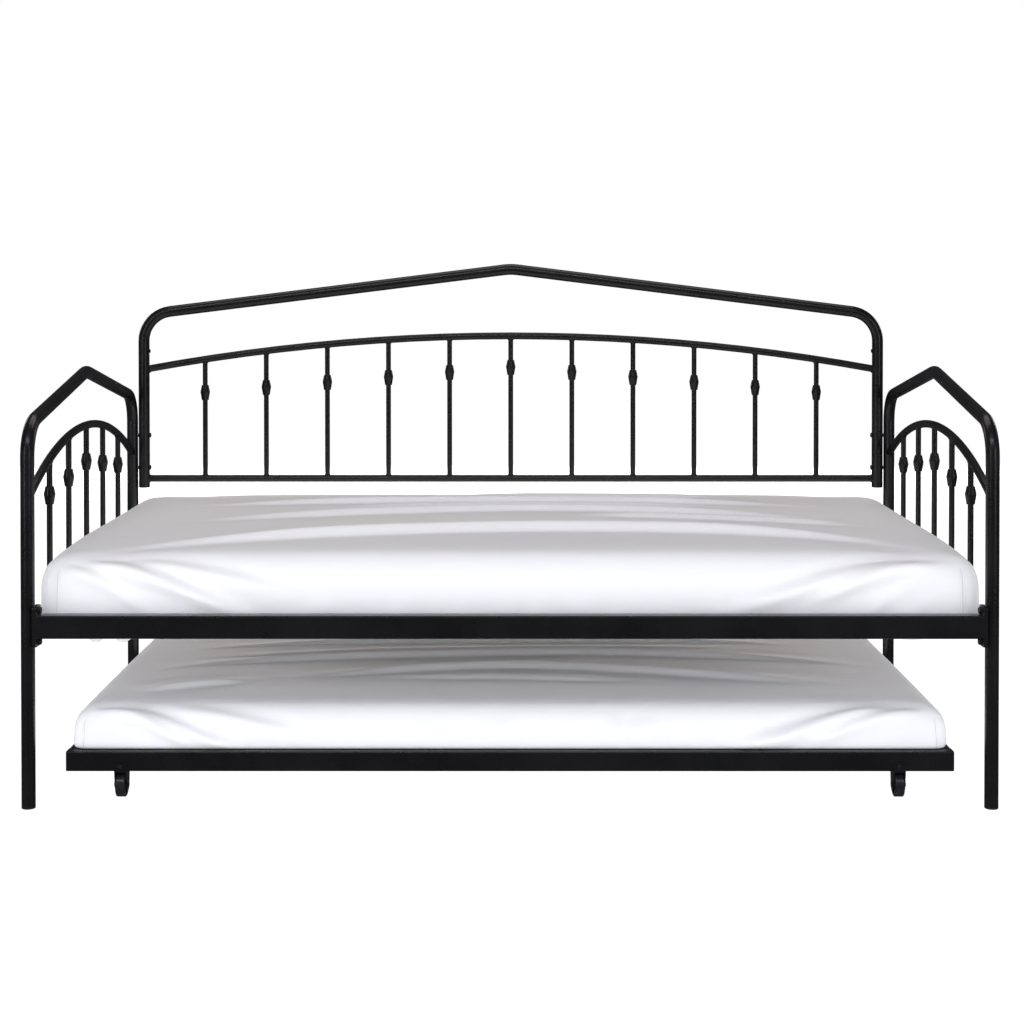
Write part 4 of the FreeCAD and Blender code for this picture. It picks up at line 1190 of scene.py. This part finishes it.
    def make_pad(self, sheet: bpy.types.Object) -> bpy.types.Object:
        """Makes the padded mattress, just inside the sheet.

        Args:
            sheet: The settled form, before its folds are raised.

        Returns:
            The mattress.
        """
        shape = bmesh.new()
        shape.from_mesh(sheet.data)
        shape.normal_update()
        for vert in shape.verts:
            vert.co -= vert.normal * (self.cloth_gap + self.cloth_thickness)
        name = self.pad_node.replace("main", "upper") + "_pad"
        pad = place_piece(name, shape, self.body, self.materials[Slot.TICKING])
        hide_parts(self.pad_node)
        return pad


@dataclass(frozen=True)
class FoldLines:
    """Lays out the folds of one sheet, from sizes in millimetres."""

    top: float  # height of the mattress's top, in metres
    front: float  # place of its front along Y, in metres

    def across(
        self, points: Track, height: float, width: float, steep: float = 0.36, fade: float = 0.3
    ) -> Fold:
        """A fold across the top, steep towards the front.

        Args:
            points: X and Y of the fold's line.
            height: The fold's height.
            width: Its width behind the line.
            steep: Its width before the line, as a share of that.
            fade: The share of the line over which each end dies away.

        Returns:
            The fold.
        """
        line = tuple((x / 1000, y / 1000, self.top) for x, y in points)
        return Fold(line, height / 1000, width / 1000, steep, -1, fade)

    def down(self, points: Track, side: int, height: float, width: float) -> Fold:
        """A fold that runs over the front from a corner.

        Args:
            points: X and Z of the fold's line.
            side: Which side of the line is steep.
            height: The fold's height.
            width: Its width.

        Returns:
            The fold.
        """
        line = tuple((x / 1000, self.front, z / 1000) for x, z in points)
        return Fold(line, height / 1000, width / 1000, 0.55, side, 0.3)


def upper_folds() -> tuple[Fold, ...]:
    """The folds of the upper mattress's sheet."""
    lines = FoldLines(top=0.53, front=-0.4875)
    return (
        lines.across(((-900, -460), (-720, -395), (-450, -315), (-150, -250), (120, -230),
                      (380, -245), (630, -305), (800, -375), (920, -460)), 20, 34),
        lines.across(((-840, -160), (-620, -60), (-350, 20), (0, 115), (300, 80), (570, -10),
                      (840, -140)), 14, 31),
        lines.across(((80, 0), (350, -30), (600, -90), (850, -200)), 10, 22),
        lines.across(((-860, 160), (-600, 220), (-350, 250), (0, 285), (400, 270), (830, 130)),
                      13, 28),
        lines.across(((-550, 105), (-250, 185), (50, 220), (350, 195), (620, 115)), 6, 20),
        lines.across(((-200, 385), (200, 400), (620, 345)), 7, 22),
        lines.down(((-915, 492), (-865, 477), (-800, 444), (-722, 388)), 1, 13, 14),
        lines.down(((-890, 498), (-820, 492), (-740, 470), (-635, 430), (-520, 382)), 1, 18.8,
                    19),
        lines.down(((-840, 505), (-700, 492), (-560, 462), (-420, 420)), 1, 8.7, 21),
        lines.down(((900, 495), (830, 492), (755, 478), (670, 444), (575, 388)), -1, 14.5, 18),
        lines.down(((850, 510), (720, 486), (540, 428), (400, 384)), -1, 14.5, 21),
        lines.down(((830, 462), (790, 436), (710, 388)), -1, 10.1, 12),
    )


def trundle_folds() -> tuple[Fold, ...]:
    """The folds of the trundle mattress's sheet."""
    lines = FoldLines(top=0.1925, front=-0.417)
    return (
        lines.across(((-800, 110), (-570, 195), (-270, 215), (100, 230), (500, 230), (740, 160)),
                      8, 26),
        lines.across(((-770, 15), (-430, 105), (-100, 140), (250, 155), (550, 140)), 6, 20),
        lines.across(((-850, -118), (-700, -38), (-500, 16), (-260, 47), (70, 80), (240, 80),
                      (440, 47), (650, 16), (850, -78)), 12, 30),
        lines.across(((-820, -304), (-660, -229), (-520, -204)), 10, 26, 0.45, 0.4),
        lines.across(((-550, -210), (-380, -154), (-250, -112), (-90, -73), (30, -64), (180, -90),
                      (400, -152), (580, -195), (760, -265)), 13, 32),
        lines.across(((-350, -185), (0, -170), (350, -225)), 6, 26),
        lines.across(((-600, 340), (-100, 370), (550, 330)), 8, 28),
        lines.down(((-875, 187), (-820, 180), (-760, 163), (-695, 126), (-630, 88)), 1, 14.5, 14),
        lines.down(((-830, 197), (-730, 162), (-630, 122), (-535, 88)), 1, 14.5, 16),
        lines.down(((-720, 190), (-580, 160), (-420, 125)), 1, 7.2, 21),
        lines.down(((875, 182), (800, 176), (690, 145), (595, 98)), -1, 13, 16),
        lines.down(((830, 198), (705, 175), (540, 124), (435, 88)), -1, 14.5, 19),
    )


def mattresses(materials: dict[Slot, bpy.types.Material]) -> list[MadeUpMattress]:
    """Sizes both made-up mattresses from their CAD nodes.

    Args:
        materials: Each slot's material.

    Returns:
        The upper mattress, then the trundle's.
    """
    low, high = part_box("main_fitted_sheet")
    ease = Vector((0.003, 0, 0))
    upper = MadeUpMattress(
        body="main_mattress", pad_node="main_mattress", sheet_node="main_fitted_sheet",
        form=MattressForm(
            low - ease, high + ease - UP * 0.004, cells=(72, 90, 8), round_plan=0.030,
            round_top=(0.043, 0.074), round_bottom=(0.010, 0.012), crown=0.003, end_drop=0.009,
            front_drop=0.018, swell=0.003, seam_x=0.918,
        ),
        folds=upper_folds(), materials=materials, flat=(2.426, 1.491), flat_area=3.35,
        rests_on=["bed_slats"], droop_y=-0.447, droops=(
            (-0.846, 0.026, 0.037), (-0.790, 0.028, 0.037), (-0.932, 0.018, 0.026),
            (0.820, 0.05, 0.031),
        ),
    )
    low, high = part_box("trundle_fitted_sheet")
    lower = MadeUpMattress(
        body="trundle", pad_node="trundle_mattress", sheet_node="trundle_fitted_sheet",
        form=MattressForm(
            low - Vector((0, 0.006, 0)), high - UP * 0.002, cells=(70, 84, 6), round_plan=0.024,
            round_top=(0.034, 0.058), round_bottom=(0.003, 0.004), crown=0.003, end_drop=0.005,
            front_drop=0.006, swell=0.003, seam_x=0.881,
        ),
        folds=trundle_folds(), materials=materials, flat=(2.184, 1.286), flat_area=2.67,
        rests_on=["trundle_slats"], seed=8,
    )
    return [upper, lower]


# ---------- studio ----------


COOL: Colour = (0.925, 0.94, 1.0)
WARM: Colour = (1.0, 0.905, 0.85)


@dataclass(frozen=True)
class Softbox:
    """A soft rectangular light, and whether it shows in glossy surfaces."""

    name: str
    place: Point
    target: Point
    size: tuple[float, float]
    power: float
    tint: Colour
    glossy: bool = True


@dataclass
class Studio:
    """A pale floor, soft lights and the camera."""

    floor_radius: float = 14.0
    floor_drop: float = 0.0005
    lights: tuple[Softbox, ...] = (
        Softbox("front_fill", (-0.6, -6.4, 2.2), (0, -0.3, 0.35), (4.4, 3.6), 172.0, COOL, False),
        Softbox("left_fill", (-6.0, -2.2, 1.1), (0, 0, 0.4), (3.5, 2.4), 105.0, COOL, False),
        Softbox("right_fill", (6.0, -2.2, 1.1), (0, 0, 0.4), (3.5, 2.4), 105.0, COOL, False),
        Softbox("rear_fill", (0, 6.5, 1.0), (0, 0.4, 0.3), (6.0, 1.4), 430.0, WARM, False),
        Softbox("high_front_box", (-0.4, -4.4, 4.3), (0, -0.3, 0.4), (5.2, 0.6), 56.0, COOL),
        Softbox("left_front_strip", (-3.4, -4.2, 1.3), (-0.4, 0, 0.6), (0.45, 2.4), 16.0, COOL),
        Softbox("right_front_strip", (3.4, -4.2, 1.3), (0.4, 0, 0.6), (0.45, 2.4), 16.0, COOL),
        Softbox("overhead_box", (0, 0.8, 4.2), (0, 0, 0.4), (4.0, 2.5), 42.0, WARM),
        Softbox("left_rear_box", (-4.5, 4.0, 2.2), (0, 0.4, 0.5), (1.6, 1.6), 20.0, COOL),
        Softbox("right_rear_box", (4.5, 4.0, 2.2), (0, 0.4, 0.5), (1.6, 1.6), 20.0, COOL),
    )
    sky: Colour = (0.075, 0.073, 0.072)
    dark_sky: Colour = (0.05, 0.05, 0.055)
    lens: float = 63.885
    eye: Point = (0.0075, -4.151, 1.047)
    pitch: float = 0.01606
    yaw: float = 0.00047
    shift: tuple[float, float] = (-0.00077, -0.18975)

    def build_floor(self) -> None:
        """Lays the round floor under the feet."""
        shape = bmesh.new()
        bmesh.ops.create_circle(
            shape, cap_ends=True, segments=96, radius=self.floor_radius,
            matrix=Matrix.Translation(-UP * self.floor_drop),
        )
        bmesh.ops.recalc_face_normals(shape, faces=shape.faces[:])
        mesh = bpy.data.meshes.new("studio_floor")
        shape.to_mesh(mesh)
        shape.free()
        mesh.materials.append(StudioFloor().make(Desk("studio_floor")))
        floor = hang("studio_floor", mesh)
        floor.visible_glossy = False

    def build_lights(self) -> None:
        """Hangs every light."""
        for light in self.lights:
            lamp = bpy.data.lights.new(light.name, "AREA")
            lamp.shape = "RECTANGLE"
            lamp.size, lamp.size_y = light.size
            lamp.energy, lamp.color = light.power, light.tint
            holder = hang(light.name, lamp)
            holder.location = light.place
            aim = Vector(light.target) - Vector(light.place)
            holder.rotation_mode = "QUATERNION"
            holder.rotation_quaternion = aim.to_track_quat("-Z", "Y")
            holder.visible_glossy = light.glossy

    def build_sky(self) -> None:
        """Makes the surroundings white to look at, softer as a light and dark in the gloss."""
        desk = Desk("studio_sky", "worlds")
        bpy.context.scene.world = desk.owner
        seen = desk.node("ShaderNodeLightPath").outputs
        shown = desk.node("ShaderNodeBackground", None, {"Color": (*self.sky, 1.0)})
        for ray, shade in (("Is Glossy Ray", self.dark_sky), ("Is Camera Ray", (1.0, 1.0, 1.0))):
            other = desk.node("ShaderNodeBackground", None, {"Color": (*shade, 1.0)})
            inputs = {0: seen[ray], 1: shown.outputs[0], 2: other.outputs[0]}
            shown = desk.node("ShaderNodeMixShader", None, inputs)
        desk.node("ShaderNodeOutputWorld", None, {0: shown.outputs[0]})

    def build_camera(self) -> None:
        """Sets the camera at the front, a little above the mattress."""
        lens = bpy.data.cameras.new("front_camera")
        lens.lens, lens.sensor_width = self.lens, 36.0
        lens.shift_x, lens.shift_y = self.shift
        lens.clip_start, lens.clip_end = 0.1, 60.0
        camera = hang("front_camera", lens)
        camera.location = self.eye
        camera.rotation_euler = (math.pi / 2 - self.pitch, 0.0, self.yaw)
        bpy.context.scene.camera = camera

    def build(self) -> None:
        """Builds the studio and sets plain colour handling."""
        self.build_floor()
        self.build_lights()
        self.build_sky()
        self.build_camera()
        bpy.context.scene.view_settings.view_transform = "Standard"


def main() -> None:
    """Builds the studio, dresses the CAD nodes and adds the welds and mattresses."""
    logging.basicConfig(level=logging.INFO, format="%(name)s: %(message)s")
    Studio().build()
    materials = finishes()
    dress_cad(materials)
    WeldBeads(materials[Slot.POWDER]).build()
    for mattress in mattresses(materials):
        mattress.build()


if __name__ == "__main__":
    main()
